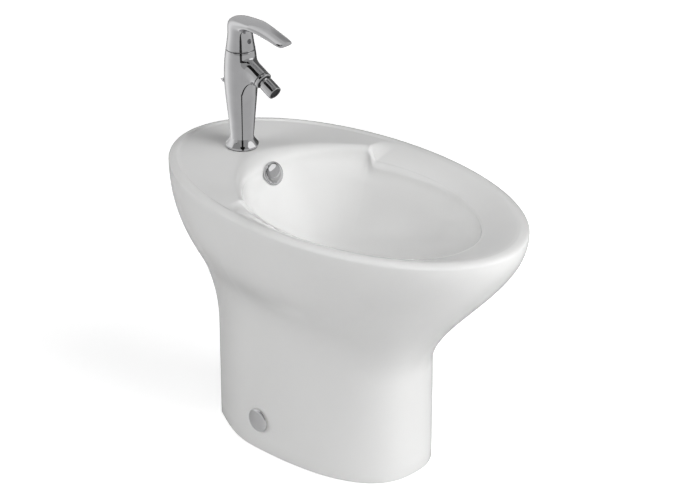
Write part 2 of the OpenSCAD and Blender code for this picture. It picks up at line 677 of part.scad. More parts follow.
module jet_nozzle() {
    color(chrome) at_jet() difference() {
        union() {
            translate([0, 0, -ball_in]) sphere(r = ball_r, $fn = 64);
            translate([0, 0, -ball_in]) cylinder(r = 6.4, h = 8, $fn = 40);
            rotate_extrude($fn = 72) polygon([[0, 3.6], [nozzle_r - 0.6, 3.6], [nozzle_r, 4.2],
                [nozzle_r, nozzle_len - 0.8], [nozzle_r - 0.8, nozzle_len], [0, nozzle_len]]);
        }
        translate([0, 0, -20]) cylinder(r = 4, h = 40, $fn = 32);
        translate([0, 0, nozzle_len - 10]) cylinder(r = nozzle_r - 1.5, h = 12, $fn = 64);
    }
}

module jet_aerator() {
    pitch = 2.6;
    r = nozzle_r - 1.5 - run_gap;
    color([0.16, 0.16, 0.17]) at_jet() translate([0, 0, nozzle_len - 9.9]) difference() {
        cylinder(r = r, h = 9.1, $fn = 64);
        translate([0, 0, -1]) cylinder(r = r - 1.4, h = 8, $fn = 48);
        for (i = [-2:2]) for (j = [-2:2]) if (norm([i, j]) < 2.4)
            translate([i * pitch, j * pitch, 8]) cube([1.6, 1.6, 6], center = true);
    }
}

// Pop-up control

knob_r = 2;
rod_y = tap_y + rod_out;
pivot_y = waste_y + pivot_arm;
pivot_h = floor_z - pivot_down;
strap_y = rod_y + rod_r + air_gap;
rod_reach = strap_y + strap_t / 2 - pivot_y;
swing = asin(lift_travel / 2 / rod_reach);
strap_hole_z = pivot_h + rod_reach * tan(swing);
rod_end_z = deck_under - rod_below;

module lift_rod() {
    color(steel) difference() {
        translate([0, rod_y, rod_end_z]) cylinder(r = rod_r, h = tap_z + knob_h + 4 - rod_end_z, $fn = 32);
        translate([0, rod_y - 1, tap_z + knob_h]) rotate([-90, 0, 0]) cylinder(r = 1.2, h = 10, $fn = 24);
    }
}

module lift_knob() {
    color(chrome) translate([0, rod_y, tap_z + knob_h]) rotate([-90, 0, 0]) {
        cylinder(r = 1.15, h = rod_r + 1, $fn = 24);
        translate([0, 0, rod_r + 0.1]) rotate_extrude($fn = 32) polygon([[0, 0], [1.6, 0], [1.6, 14],
            [knob_r, 15], [knob_r, 18], [1.5, 19], [0.9, knob_tip - rod_out - rod_r - 0.6],
            [0.4, knob_tip - rod_out - rod_r - 0.1], [0, knob_tip - rod_out - rod_r - 0.1]]);
    }
}

strap_low = strap_hole_z - 16;
strap_high = rod_end_z + 32;
hole_pitch = 12;
lug_gap = 20;

module link_strap() {
    color(steel) difference() {
        union() {
            translate([-strap_w / 2, strap_y, strap_low]) cube([strap_w, strap_t, strap_high - strap_low]);
            for (z = [strap_high - strap_t, strap_high - strap_t - lug_gap]) translate([0, 0, z]) {
                translate([-strap_w / 2, rod_y, 0]) cube([strap_w, strap_y - rod_y + eps, strap_t]);
                translate([0, rod_y, 0]) cylinder(r = strap_w / 2, h = strap_t, $fn = 40);
            }
        }
        translate([0, rod_y, rod_end_z - 5]) cylinder(r = rod_r + run_gap, h = 60, $fn = 32);
        translate([0, strap_y - 1, strap_high - lug_gap / 2 - strap_t]) rotate([-90, 0, 0])
            cylinder(r = 2 + run_gap, h = 4, $fn = 32);
        for (i = [0:9]) if (strap_hole_z + i * hole_pitch < rod_end_z)
            translate([0, strap_y - 1, strap_hole_z + i * hole_pitch]) rotate([-90, 0, 0])
                cylinder(r = pivot_r + 0.9, h = 4, $fn = 32);
    }
}

module strap_screw() {
    color(steel) translate([0, rod_y + rod_r + 0.05, strap_high - lug_gap / 2 - strap_t]) rotate([-90, 0, 0]) {
        cylinder(r = 2, h = 9, $fn = 32);
        translate([0, 0, 7]) linear_extrude(height = 4) union() {
            circle(r = 4.6, $fn = 48);
            for (a = [0:30:330]) rotate([0, 0, a]) translate([4.5, 0]) circle(r = 0.6, $fn = 16);
        }
    }
}

module pivot_rod() {
    color(chrome) translate([0, pivot_y, pivot_h]) rotate([swing, 0, 0]) difference() {
        union() {
            sphere(r = pivot_ball_r, $fn = 64);
            translate([0, -pivot_arm - 3, 0]) rotate([-90, 0, 0])
                cylinder(r = pivot_r, h = pivot_arm + 3 + rod_reach + 10, $fn = 32);
        }
    }
}

module pivot_nut() {
    color(plastic) translate([0, pivot_y, pivot_h]) rotate([-90, 0, 0]) difference() {
        union() {
            translate([0, 0, -5]) cylinder(r = port_r + 3, h = 12, $fn = 48);
            for (a = [0:60:300]) rotate([0, 0, a]) translate([port_r + 2.4, -1.2, -5]) cube([1.6, 2.4, 12]);
        }
        translate([0, 0, -6]) cylinder(r = port_r + 0.1, h = 8, $fn = 48);
        sphere(r = pivot_ball_r + 0.15, $fn = 64);
        cylinder(r = pivot_r + 2.4, h = 20, $fn = 32);
    }
}

// Waste

seal_t = 1.5;
flange_z = floor_z - flange_t + seal_t;
tube_in = tube_r - tube_t;
eye_z = pivot_h - pivot_arm * tan(swing);
eye_r = 6.2;
port_r = pivot_ball_r + 2;

module at_waste(z) {
    translate([0, waste_y, z]) children();
}

module flange_seal() {
    color(rubber) at_waste(flange_z - seal_t) difference() {
        cylinder(r = flange_r - 1, h = seal_t, $fn = 72);
        translate([0, 0, -1]) cylinder(r = waste_hole_r, h = seal_t + 2, $fn = 64);
    }
}

module waste_flange() {
    color(chrome) at_waste(flange_z) difference() {
        rotate_extrude($fn = 96) polygon([[tube_in, flange_t - 2 - tube_len], [tube_r, flange_t - 2 - tube_len],
            [tube_r, 0], [flange_r, 0], [flange_r, flange_t - 1.6], [flange_r - 1.4, flange_t - 0.3],
            [flange_r - 3, flange_t], [tube_in + 2.4, flange_t], [tube_in, flange_t - 2]]);
        for (a = [0:90:270]) rotate([0, 0, a]) translate([-5, 0, -waste_boss_h + 6]) cube([10, 40, 12]);
    }
}

module waste_plug() {
    low = eye_z - flange_z;
    color(chrome) at_waste(flange_z) {
        difference() {
            union() {
                rotate_extrude($fn = 72) polygon([[0, flange_t + 0.4], [plug_r - 0.8, flange_t + 0.4],
                    [plug_r, flange_t + 1.2], [plug_r - 0.6, flange_t + 2.2], [plug_r * 0.7, flange_t + 3.6],
                    [plug_r * 0.35, flange_t + 4.4], [0, flange_t + 4.7]]);
                translate([0, 0, flange_t - 2]) cylinder(r = tube_in - 4, h = 3, $fn = 48);
                translate([0, 0, low]) cylinder(r = 3, h = -low + flange_t, $fn = 32);
                translate([0, -4, low]) rotate([-90, 0, 0]) cylinder(r = eye_r, h = 8, $fn = 48);
                translate([0, 0, flange_t - 28]) linear_extrude(height = 27) for (a = [45, 135])
                    rotate([0, 0, a]) square([2 * tube_in - 0.8, 1.6], center = true);
            }
            translate([0, -6, low]) rotate([-90, 0, 0]) cylinder(r = pivot_r + 1.4, h = 12, $fn = 32);
        }
    }
}

module plug_seal() {
    color(rubber) at_waste(flange_z + flange_t - 1) difference() {
        cylinder(r = tube_in - 0.6, h = 1.35, $fn = 64);
        translate([0, 0, -1]) cylinder(r = tube_in - 4 + run_gap, h = 4, $fn = 48);
        for (a = [45, 135]) rotate([0, 0, a]) cube([2 * tube_in, 1.8, 0.1], center = true);
    }
}

module waste_rubber() {
    color(rubber) at_waste(waste_under - cone_t) rotate_extrude($fn = 72)
        polygon([[tube_r + 0.15, 0], [flange_r - 1, 0], [flange_r - 3, cone_t], [tube_r + 0.15, cone_t]]);
}

module waste_washer() {
    color(plastic) at_waste(waste_under - cone_t - washer_t) difference() {
        cylinder(r = flange_r - 1, h = washer_t, $fn = 72);
        translate([0, 0, -1]) cylinder(r = tube_r + 0.3, h = washer_t + 2, $fn = 64);
    }
}

module waste_nut() {
    color(brass) at_waste(waste_under - cone_t - washer_t - back_nut_h) difference() {
        union() {
            cylinder(r = flange_r - 3, h = back_nut_h, $fn = 8);
            translate([0, 0, back_nut_h - 3]) cylinder(r = flange_r - 1.5, h = 3, $fn = 72);
        }
        translate([0, 0, -1]) cylinder(r = tube_r + run_gap, h = back_nut_h + 2, $fn = 64);
    }
}

nut_low = waste_under - cone_t - washer_t - back_nut_h;
wb_top = nut_low - 1;
wb_low = wb_top - body_len;
tube_end = flange_z + flange_t - 2 - tube_len;

module waste_body() {
    color(chrome) difference() {
        union() {
            at_waste(wb_low) rotate_extrude($fn = 72) polygon([[0, 0], [tail_r + 2.4, 0], [tail_r + 2.4, 16],
                [tube_r + 1.6, 22], [tube_r + 1.6, body_len - 9], [tube_r + 3.8, body_len - 7],
                [tube_r + 3.8, body_len], [0, body_len]]);
            at_waste(pivot_h) rotate([-90, 0, 0]) cylinder(r = port_r, h = pivot_arm + 1, $fn = 48);
        }
        at_waste(tube_end - 1) cylinder(r = tube_r + run_gap, h = body_len, $fn = 64);
        at_waste(wb_low + 18) cylinder(r = tube_in, h = body_len, $fn = 64);
        at_waste(wb_low - 1) cylinder(r = tail_r - tail_neck + 0.25, h = 20, $fn = 64);
        at_waste(pivot_h) rotate([-90, 0, 0]) cylinder(r = pivot_ball_r + 0.15, h = pivot_arm + 2, $fn = 48);
    }
}

tail_top = wb_low + 14;

module tailpiece() {
    color(chrome) at_waste(tail_top - tail_len) difference() {
        union() {
            cylinder(r = tail_r, h = tail_len - 22, $fn = 64);
            cylinder(r = tail_r - tail_neck, h = tail_len, $fn = 64);
        }
        translate([0, 0, -1]) cylinder(r = tail_r - 1.5, h = tail_len + 2, $fn = 64);
    }
}

module tailpiece_seal() {
    color(rubber) at_waste(wb_low - 3.3) difference() {
        cylinder(r = tail_r + 2.3, h = 3.2, $fn = 64);
        translate([0, 0, -1]) cylinder(r = tail_r - tail_neck + 0.1, h = 6, $fn = 64);
    }
}

module tailpiece_nut() {
    color(chrome) at_waste(wb_low - 6) difference() {
        union() {
            cylinder(r = tail_r + 5, h = 15, $fn = 64);
            for (a = [0:30:330]) rotate([0, 0, a]) translate([tail_r + 4.4, -1.4, 1]) cube([1.4, 2.8, 13]);
        }
        translate([0, 0, 2.5]) cylinder(r = tail_r + 2.45, h = 20, $fn = 64);
        translate([0, 0, -1]) cylinder(r = tail_r + 0.3, h = 20, $fn = 64);
    }
}

// Overflow cover

function dome_points(r, h, n) = [for (i = [0:n]) let (a = 90 * i / n) [r * cos(a), h * sin(a)]];

module overflow_cover() {
    edge = 3.2;
    color(chrome) at_overflow() difference() {
        rotate_extrude($fn = 72) polygon(concat([[0, 0], [cover_r, 0], [cover_r, edge - 0.5],
            [cover_r - 0.8, edge], [cover_r - 1.6, edge - 0.4]],
            [for (p = dome_points(cover_r - 2, cover_h - edge, 8)) [p[0], p[1] + edge - 0.2]]));
        translate([0, 0, -1]) cylinder(r = cover_r - 2, h = edge, $fn = 64);
        for (a = [0:60:300]) rotate([0, 0, a]) translate([-4, 8, -1]) cube([8, 20, 2]);
    }
}

module overflow_clip() {
    color(plastic) at_overflow() difference() {
        union() {
            translate([0, 0, -14]) cylinder(r = over_r - 0.1, h = 14, $fn = 48);
            cylinder(r = over_r + 4, h = 1.2, $fn = 48);
            for (a = [0, 90, 180, 270]) rotate([0, 0, a]) translate([over_r - 1.6, -1.5, 0]) cube([2.4, 3, 2.1]);
        }
        translate([0, 0, -15]) cylinder(r = over_r - 2, h = 20, $fn = 48);
    }
}

// Side fixings

module cap_bases() {
    color(plastic) both_sides() translate([0, 0, cap_face]) difference() {
        union() {
            cylinder(r = cap_r, h = cap_base_t, $fn = 64);
            cylinder(r = cap_r - 3, h = cap_base_t + 1.5, $fn = 64);
        }
        translate([0, 0, -1]) cylinder(r = side_screw_r + 0.2, h = 8, $fn = 32);
        translate([0, 0, cap_base_t]) cylinder(r = side_screw_r + 4.2, h = 8, $fn = 48);
    }
}

module side_caps() {
    color(chrome) both_sides() translate([0, 0, cap_face + cap_base_t]) difference() {
        rotate_extrude($fn = 72) polygon(concat([[0, 0], [cap_r, 0], [cap_r, 1.4], [cap_r - 0.7, 2.1]],
            [for (p = dome_points(cap_r - 1.2, cap_h - cap_base_t - 1.8, 8)) [p[0], p[1] + 1.8]]));
        translate([0, 0, -1]) cylinder(r = cap_r - 2.9, h = 3, $fn = 64);
        translate([0, 0, -1]) cylinder(r = side_screw_r + 4.4, h = 4.2, $fn = 48);
    }
}

module side_screws() {
    len = foot_t + 8;
    color(steel) both_sides() translate([0, 0, cap_face + cap_base_t]) difference() {
        union() {
            translate([0, 0, -len]) cylinder(r = side_screw_r, h = len + 1, $fn = 32);
            cylinder(r = side_screw_r + 3.5, h = 2.6, $fn = 48);
        }
        translate([0, 0, 1.2]) for (a = [0, 90]) rotate([0, 0, a]) cube([6, 1.2, 4], center = true);
    }
}

leg_x = foot_half - foot_t - air_gap;

module floor_brackets() {
    color(plastic) for (s = [-1, 1]) translate([0, side_y, 0]) scale([s, 1, 1]) difference() {
        union() {
            translate([leg_x - bracket_len, -bracket_w / 2, 0]) cube([bracket_len, bracket_w, bracket_t]);
            translate([leg_x - bracket_t, -bracket_w / 2, 0]) cube([bracket_t, bracket_w, bracket_h]);
            for (y = [-bracket_w / 2, bracket_w / 2 - 2.5]) translate([leg_x - bracket_t, y + 2.5, bracket_t])
                rotate([90, 0, 0]) linear_extrude(height = 2.5) polygon([[0, 0], [-14, 0], [0, 24]]);
        }
        translate([leg_x - bracket_hole_in, 0, -1]) cylinder(r = floor_hole_r, h = bracket_t + 2, $fn = 40);
        translate([leg_x - 10, 0, side_z]) rotate([0, 90, 0]) cylinder(r = side_screw_r + run_gap, h = 20, $fn = 32);
    }
}

ceramic_body();
tap_body();
base_gasket();
fixing_stud();
fixing_rubber();
fixing_plate();
fixing_nut();
cartridge_housing();
cartridge_ring();
cartridge_carrier();
dome_cap();
lever_stem();
lever_handle();
grub_screw();
indicator_plug();
jet_collar();
jet_seat();
jet_nozzle();
jet_aerator();
lift_rod();
lift_knob();
link_strap();
strap_screw();
pivot_rod();
pivot_nut();
waste_plug();
plug_seal();
waste_flange();
flange_seal();
waste_body();
waste_rubber();
waste_washer();
waste_nut();
tailpiece();
tailpiece_nut();
tailpiece_seal();
overflow_cover();
overflow_clip();
side_caps();
cap_bases();
side_screws();
floor_brackets();
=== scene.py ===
# Floor standing bidet with a deck mixer tap, swivel jet and pop-up waste
import bpy, bmesh, json, math
import numpy as np
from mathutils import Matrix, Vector


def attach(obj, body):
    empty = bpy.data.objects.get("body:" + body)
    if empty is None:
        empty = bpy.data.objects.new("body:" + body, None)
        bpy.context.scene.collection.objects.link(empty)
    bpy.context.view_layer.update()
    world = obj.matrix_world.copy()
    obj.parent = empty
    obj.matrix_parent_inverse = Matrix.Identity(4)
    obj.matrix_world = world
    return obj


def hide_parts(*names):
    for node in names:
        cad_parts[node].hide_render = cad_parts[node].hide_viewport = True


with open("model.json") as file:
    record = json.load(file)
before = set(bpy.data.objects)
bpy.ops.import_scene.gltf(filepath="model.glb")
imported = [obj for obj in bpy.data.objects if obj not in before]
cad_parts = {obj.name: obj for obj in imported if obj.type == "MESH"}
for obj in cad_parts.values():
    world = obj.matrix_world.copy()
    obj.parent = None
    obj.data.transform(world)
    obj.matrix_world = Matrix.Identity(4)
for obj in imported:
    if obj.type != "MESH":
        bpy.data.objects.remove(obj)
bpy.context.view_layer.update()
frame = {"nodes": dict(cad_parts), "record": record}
nodes = frame["nodes"]
slotOf = {s["node"]: s["material_slot"] for s in frame["record"]["subparts"]}
print("frame loaded:", len(nodes), "nodes")

mm = 0.001
scene = bpy.context.scene


# mesh helpers

def newObject(name, points, faces):
    mesh = bpy.data.meshes.new(name)
    mesh.from_pydata([tuple(p) for p in points], [], faces)
    thing = bpy.data.objects.new(name, mesh)
    scene.collection.objects.link(thing)
    return thing


def facedOut(mesh, merge=0.0):
    # turns all faces outward, and merges points closer than merge
    bm = bmesh.new()
    bm.from_mesh(mesh)
    if merge:
        bmesh.ops.remove_doubles(bm, verts=bm.verts, dist=merge)
    bmesh.ops.recalc_face_normals(bm, faces=bm.faces)
    bm.to_mesh(mesh)
    bm.free()


def addPiece(name, points, faces, body, slot, replaces=(), sharp=40):
    piece = newObject(name, points * mm, faces)
    mesh = piece.data
    mesh.validate()
    facedOut(mesh, 1e-6)
    mesh.shade_smooth()
    mesh.set_sharp_from_angle(angle=math.radians(sharp))
    mesh.materials.append(finishes[finishOfSlot[slot]])
    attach(piece, body)
    if replaces:
        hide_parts(*replaces)
    return piece


def gridFaces(rows, turns, ends="open"):
    faces = []
    last = rows if ends == "loop" else rows - 1
    for i in range(last):
        a, b = i * turns, (i + 1) % rows * turns
        for j in range(turns):
            k = (j + 1) % turns
            faces.append((a + j, a + k, b + k, b + j))
    if ends == "capped":
        faces.append(tuple(range(turns))[::-1])
        faces.append(tuple(range((rows - 1) * turns, rows * turns)))
    return faces


def roundedPath(corners, steps=4):
    # corners are (radius, height, rounding); each corner is eased with a small arc
    path = []
    for i, (x, y, e) in enumerate(corners):
        p = np.array([x, y], float)
        if e <= 0 or i in (0, len(corners) - 1):
            path.append(p)
            continue
        before, after = np.array(corners[i - 1][:2], float), np.array(corners[i + 1][:2], float)
        u, v = before - p, after - p
        reach = min(e, 0.45 * np.linalg.norm(u), 0.45 * np.linalg.norm(v))
        a, b = p + u / np.linalg.norm(u) * reach, p + v / np.linalg.norm(v) * reach
        for k in np.linspace(0, 1, steps + 1):
            path.append((1 - k) ** 2 * a + 2 * k * (1 - k) * p + k * k * b)
    return np.array(path)


def lathe(path, turns=96):
    # points of a turned form about Z; a radius of 0 closes the end
    points, faces, ringStart = [], [], []
    q = np.arange(turns) * 2 * math.pi / turns
    for r, z in path:
        ringStart.append((len(points), r > 1e-6))
        if r > 1e-6:
            points += [(r * math.cos(a), r * math.sin(a), z) for a in q]
        else:
            points.append((0, 0, z))
    for (a, ringA), (b, ringB) in zip(ringStart[:-1], ringStart[1:]):
        for j in range(turns):
            k = (j + 1) % turns
            if ringA and ringB:
                faces.append((a + j, a + k, b + k, b + j))
            elif ringA:
                faces.append((a + j, a + k, b))
            elif ringB:
                faces.append((a, b + k, b + j))
    return np.array(points, float), faces


def placed(points, place):
    return np.asarray(points) @ place[:3, :3].T + place[:3, 3]


def join(parts):
    points, faces = [], []
    for p, f in parts:
        n = sum(len(q) for q in points)
        points.append(np.asarray(p, float))
        faces += [tuple(n + i for i in face) for face in f]
    return np.concatenate(points), faces


def turned(place, corners, turns=96):
    points, faces = lathe(roundedPath(corners), turns)
    return placed(points, place), faces


def frameOf(origin, axis, up=(1, 0, 0)):
    # a placement whose Z is axis and whose X is up
    z = np.array(axis, float) / np.linalg.norm(axis)
    x = np.array(up, float) - np.dot(up, z) * z
    x /= np.linalg.norm(x)
    m = np.eye(4)
    m[:3, 0], m[:3, 1], m[:3, 2], m[:3, 3] = x, np.cross(z, x), z, origin
    return m


def prism(outline, low, high):
    # outline in the XY plane, straight sides along Z
    n = len(outline)
    points = [(x, y, low) for x, y in outline] + [(x, y, high) for x, y in outline]
    return np.array(points, float), gridFaces(2, n, ends="capped")


def cut(piece, parts, name, overlapping=False):
    # takes a set of closed forms out of a piece
    points, faces = join(parts)
    tool = newObject(name, points * mm, faces)
    facedOut(tool.data)
    step = piece.modifiers.new("cut", "BOOLEAN")
    step.operation, step.solver, step.object, step.use_self = "DIFFERENCE", "EXACT", tool, overlapping
    bpy.context.view_layer.update()
    done = bpy.data.meshes.new_from_object(piece.evaluated_get(bpy.context.evaluated_depsgraph_get()))
    piece.modifiers.clear()
    old = piece.data
    piece.data = done
    bpy.data.objects.remove(tool)
    bpy.data.meshes.remove(old)
    done.name = piece.name
    done.shade_smooth()
    done.set_sharp_from_angle(angle=math.radians(32))


# finishes

def newMaterial(name):
    material = bpy.data.materials.new(name)
    material.use_nodes = True
    tree = material.node_tree
    shader = tree.nodes["Principled BSDF"]
    place = tree.nodes.new("ShaderNodeTexCoord")
    return material, tree, shader, place.outputs["Object"]


def noiseNode(tree, place, scale, detail=2.0, roughness=0.5, stretch=None):
    if stretch:
        mapping = tree.nodes.new("ShaderNodeMapping")
        mapping.inputs["Scale"].default_value = stretch
        tree.links.new(place, mapping.inputs["Vector"])
        place = mapping.outputs["Vector"]
    noise = tree.nodes.new("ShaderNodeTexNoise")
    noise.inputs["Scale"].default_value = scale
    noise.inputs["Detail"].default_value = detail
    noise.inputs["Roughness"].default_value = roughness
    tree.links.new(place, noise.inputs["Vector"])
    return noise.outputs["Fac"]


def spread(tree, value, low, high, start=0.3, end=0.7):
    node = tree.nodes.new("ShaderNodeMapRange")
    node.inputs["From Min"].default_value, node.inputs["From Max"].default_value = start, end
    node.inputs["To Min"].default_value, node.inputs["To Max"].default_value = low, high
    tree.links.new(value, node.inputs["Value"])
    return node.outputs["Result"]


def tint(tree, value, low, high):
    ramp = tree.nodes.new("ShaderNodeValToRGB")
    ramp.color_ramp.elements[0].position, ramp.color_ramp.elements[1].position = 0.3, 0.7
    ramp.color_ramp.elements[0].color = (*low, 1)
    ramp.color_ramp.elements[1].color = (*high, 1)
    tree.links.new(value, ramp.inputs["Fac"])
    return ramp.outputs["Color"]


def bump(tree, shader, height, strength, distance):
    node = tree.nodes.new("ShaderNodeBump")
    node.inputs["Strength"].default_value = strength
    node.inputs["Distance"].default_value = distance
    tree.links.new(height, node.inputs["Height"])
    tree.links.new(node.outputs["Normal"], shader.inputs["Normal"])


def makeFinish(name, low, high, rough, grain, wave, metallic=0.0, stretch=None):
    # low and high are the two ends of the colour, rough of the roughness; grain is the noise scale;
    # wave is the scale, strength and depth of the bumps
    material, tree, shader, place = newMaterial(name)
    shader.inputs["Metallic"].default_value = metallic
    shader.inputs["IOR"].default_value = 1.5
    mottling = noiseNode(tree, place, grain, 3.0, 0.55, stretch)
    tree.links.new(tint(tree, mottling, low, high), shader.inputs["Base Color"])
    tree.links.new(spread(tree, mottling, *rough), shader.inputs["Roughness"])
    bump(tree, shader, noiseNode(tree, place, wave[0], 2.0, 0.5, stretch), *wave[1:])
    return material


finish = {
    "china": dict(low=(0.825, 0.825, 0.82), high=(0.845, 0.845, 0.84), rough=(0.07, 0.12), grain=9.0,
                  wave=(38.0, 0.05, 0.0006)),
    "chrome": dict(low=(0.60, 0.60, 0.61), high=(0.66, 0.66, 0.67), rough=(0.035, 0.07), grain=30.0,
                   metallic=1.0, wave=(60.0, 0.02, 0.0003)),
    "steel": dict(low=(0.42, 0.43, 0.45), high=(0.56, 0.57, 0.58), rough=(0.28, 0.42), grain=240.0,
                  metallic=1.0, wave=(900.0, 0.15, 0.00004), stretch=(1, 1, 0.2)),
    "brass": dict(low=(0.62, 0.45, 0.20), high=(0.74, 0.57, 0.29), rough=(0.24, 0.38), grain=180.0,
                  metallic=1.0, wave=(700.0, 0.12, 0.00004), stretch=(1, 1, 6)),
    "rubber": dict(low=(0.016, 0.016, 0.018), high=(0.030, 0.030, 0.033), rough=(0.55, 0.75), grain=160.0,
                   wave=(1400.0, 0.25, 0.00005)),
    "plastic": dict(low=(0.70, 0.70, 0.68), high=(0.76, 0.76, 0.74), rough=(0.36, 0.48), grain=120.0,
                    wave=(1500.0, 0.1, 0.00003)),
    "darkPlastic": dict(low=(0.018, 0.018, 0.02), high=(0.03, 0.03, 0.032), rough=(0.3, 0.42), grain=300.0,
                        wave=(1800.0, 0.1, 0.00003)),
    "marker": dict(low=(0.10, 0.10, 0.11), high=(0.13, 0.13, 0.14), rough=(0.2, 0.3), grain=200.0,
                   wave=(900.0, 0.05, 0.00003)),
}
finishes = {name: makeFinish(name + "Finish", **values) for name, values in finish.items()}
finishOfSlot = {"china": "china", "chrome": "chrome", "steel": "steel", "brass": "brass", "rubber": "rubber",
                "plastic": "plastic", "dark_plastic": "darkPlastic", "marker": "marker"}
for name, node in nodes.items():
    node.data.materials.clear()
    node.data.materials.append(finishes[finishOfSlot[slotOf[name]]])
print("finishes made")


# the ceramic pan

panShape = {
    "rimLength": 600.0, "rimWidth": 353.7, "rimHeight": 400.0,
    "crestIn": 12.0, "crestDrop": 6.0,       # rounding of the rim
    "deckDrop": 1.5, "deckThick": 12.5, "seatFall": 18.0,
    "shoulderY": 67.0, "shoulderOut": 15.0,
    "shoulderSet": 1.3, "shoulderSoft": 3.2,             # where the step lies and half its width, in degrees of turn
    "mouthFront": 224.0, "mouthBack": 162.0, "mouthHalf": 125.0,
    "mouthSoft": 4.5, "wallSoft": 12.0,                  # how far the mouth and the wall below it are smoothed
    "wallBefore": 40.0, "wallAfter": 16.0,               # the wall sinks from deck to seat over these degrees
    "bowlDepth": 133.0, "bowlWall": 11.0, "wasteY": 25.0,
    "lip": 4.0, "lipGrow": 5.0, "lipSpan": 60.0, "deckLip": 9.0, "lipBack": 17.0,
    "footBack": 183.0, "footBackHalf": 71.0, "footHalf": 106.5, "footWideY": 78.0,
    "footFront": 138.0, "footSquare": 2.5, "footWall": 13.0, "footSoft": 2.6,
    "waistFront": 151.0, "waistBack": 147.0, "waistSide": 175.0,
    "flareLow": (74.0, 108.0, 107.0), "flareHigh": (70.0, 106.0, 133.0),
    "backGapHalf": 46.0, "backGapHeight": 296.0,
    "wasteHole": 22.5, "wasteBoss": 39.0, "wasteRecess": 33.0, "bossLow": 235.0, "recessLow": 264.0,
    "backSteps": 44, "shoulderSteps": 46, "frontSteps": 84, "shoulderSpan": 9.0,
}
ps = panShape
deckZ = ps["rimHeight"] - ps["deckDrop"]
crestZ = ps["rimHeight"] - ps["crestDrop"]
bowlZ = ps["rimHeight"] - ps["bowlDepth"]
mouthY = (ps["mouthBack"] - ps["mouthFront"]) / 2
mouthLength = (ps["mouthBack"] + ps["mouthFront"]) / 2
rimTurn = math.degrees(math.acos(2 * ps["shoulderY"] / ps["rimLength"]))
mouthTurn = math.degrees(math.acos((ps["shoulderY"] - mouthY) / mouthLength))
wasteAt = np.array([0.0, ps["wasteY"]])


def spaced(a, b, n):
    return a + (b - a) * np.linspace(0, 1, n + 1)


fineFrom, fineTo = rimTurn - ps["shoulderSpan"], rimTurn + ps["shoulderSpan"]
halfTurns = np.concatenate([
    spaced(0, fineFrom, ps["backSteps"])[:-1], spaced(fineFrom, fineTo, ps["shoulderSteps"])[:-1],
    spaced(fineTo, 180, ps["frontSteps"])])
turnsOf = np.concatenate([halfTurns, 360 - halfTurns[-2:0:-1]])
turnCount = len(turnsOf)
folded = np.where(turnsOf > 180, 360 - turnsOf, turnsOf)
sideOf = np.where(turnsOf > 180, -1.0, 1.0)
cosT, sinT = np.cos(np.radians(turnsOf)), np.sin(np.radians(turnsOf))
frontPart = np.where(cosT < 0, cosT ** 2, 0)
backPart = np.where(cosT > 0, cosT ** 2, 0)


def easeIn(x):
    x = np.clip(x, 0, 1)
    return x * x * (3 - 2 * x)


def blended(front, back, side):
    return frontPart * front + backPart * back + (1 - frontPart - backPart) * side


def softened(values, width):
    # smooths a closed run of points along its own length
    points = np.asarray(values, float)
    step = np.linalg.norm(np.roll(points, -1, 0) - points, axis=1)
    at = np.concatenate([[0], np.cumsum(step)[:-1]])
    total = step.sum()
    out = np.zeros_like(points)
    for i in range(len(points)):
        d = np.abs(at - at[i])
        d = np.minimum(d, total - d)
        w = np.exp(-0.5 * (d / width) ** 2) * (step + np.roll(step, 1))
        out[i] = (points * w[:, None]).sum(0) / w.sum()
    return out


def rimAt(inward):
    return np.stack([(ps["rimWidth"] / 2 - inward) * sinT, (ps["rimLength"] / 2 - inward) * cosT], 1)


def footAt(inward):
    backTurn, wideTurn = 30.0, 75.0
    x, y = np.zeros(turnCount), np.zeros(turnCount)
    for i, a in enumerate(folded):
        if a <= backTurn:
            x[i], y[i] = (ps["footBackHalf"] - inward) * a / backTurn, ps["footBack"] - inward
        elif a <= wideTurn:
            q = (a - backTurn) / (wideTurn - backTurn)
            x[i] = ps["footBackHalf"] - inward + (ps["footHalf"] - ps["footBackHalf"]) * math.sin(math.pi / 2 * q)
            y[i] = ps["footBack"] - inward + (ps["footWideY"] - ps["footBack"] + inward) * q
        else:
            q = math.pi / 2 * (a - wideTurn) / (180 - wideTurn)
            power = 2 / ps["footSquare"]
            x[i] = (ps["footHalf"] - inward) * max(math.cos(q), 0) ** power
            y[i] = ps["footWideY"] - (ps["footWideY"] + ps["footFront"] - inward) * max(math.sin(q), 0) ** power
    return softened(np.stack([x * sideOf, y], 1), ps["footSoft"])


def cubic(a, b, c, d, k):
    return (1 - k) ** 3 * a + 3 * (1 - k) ** 2 * k * b + 3 * (1 - k) * k * k * c + k ** 3 * d


waistZ = blended(ps["waistFront"], ps["waistBack"], ps["waistSide"])


def wallZ(k):
    return cubic(waistZ, waistZ + blended(*ps["flareLow"]), crestZ - blended(*ps["flareHigh"]), crestZ, k)


def wallAt(k, inward):
    w = cubic(0, 0, 1, 1, k)
    return footAt(inward) * (1 - w) + rimAt(inward) * w


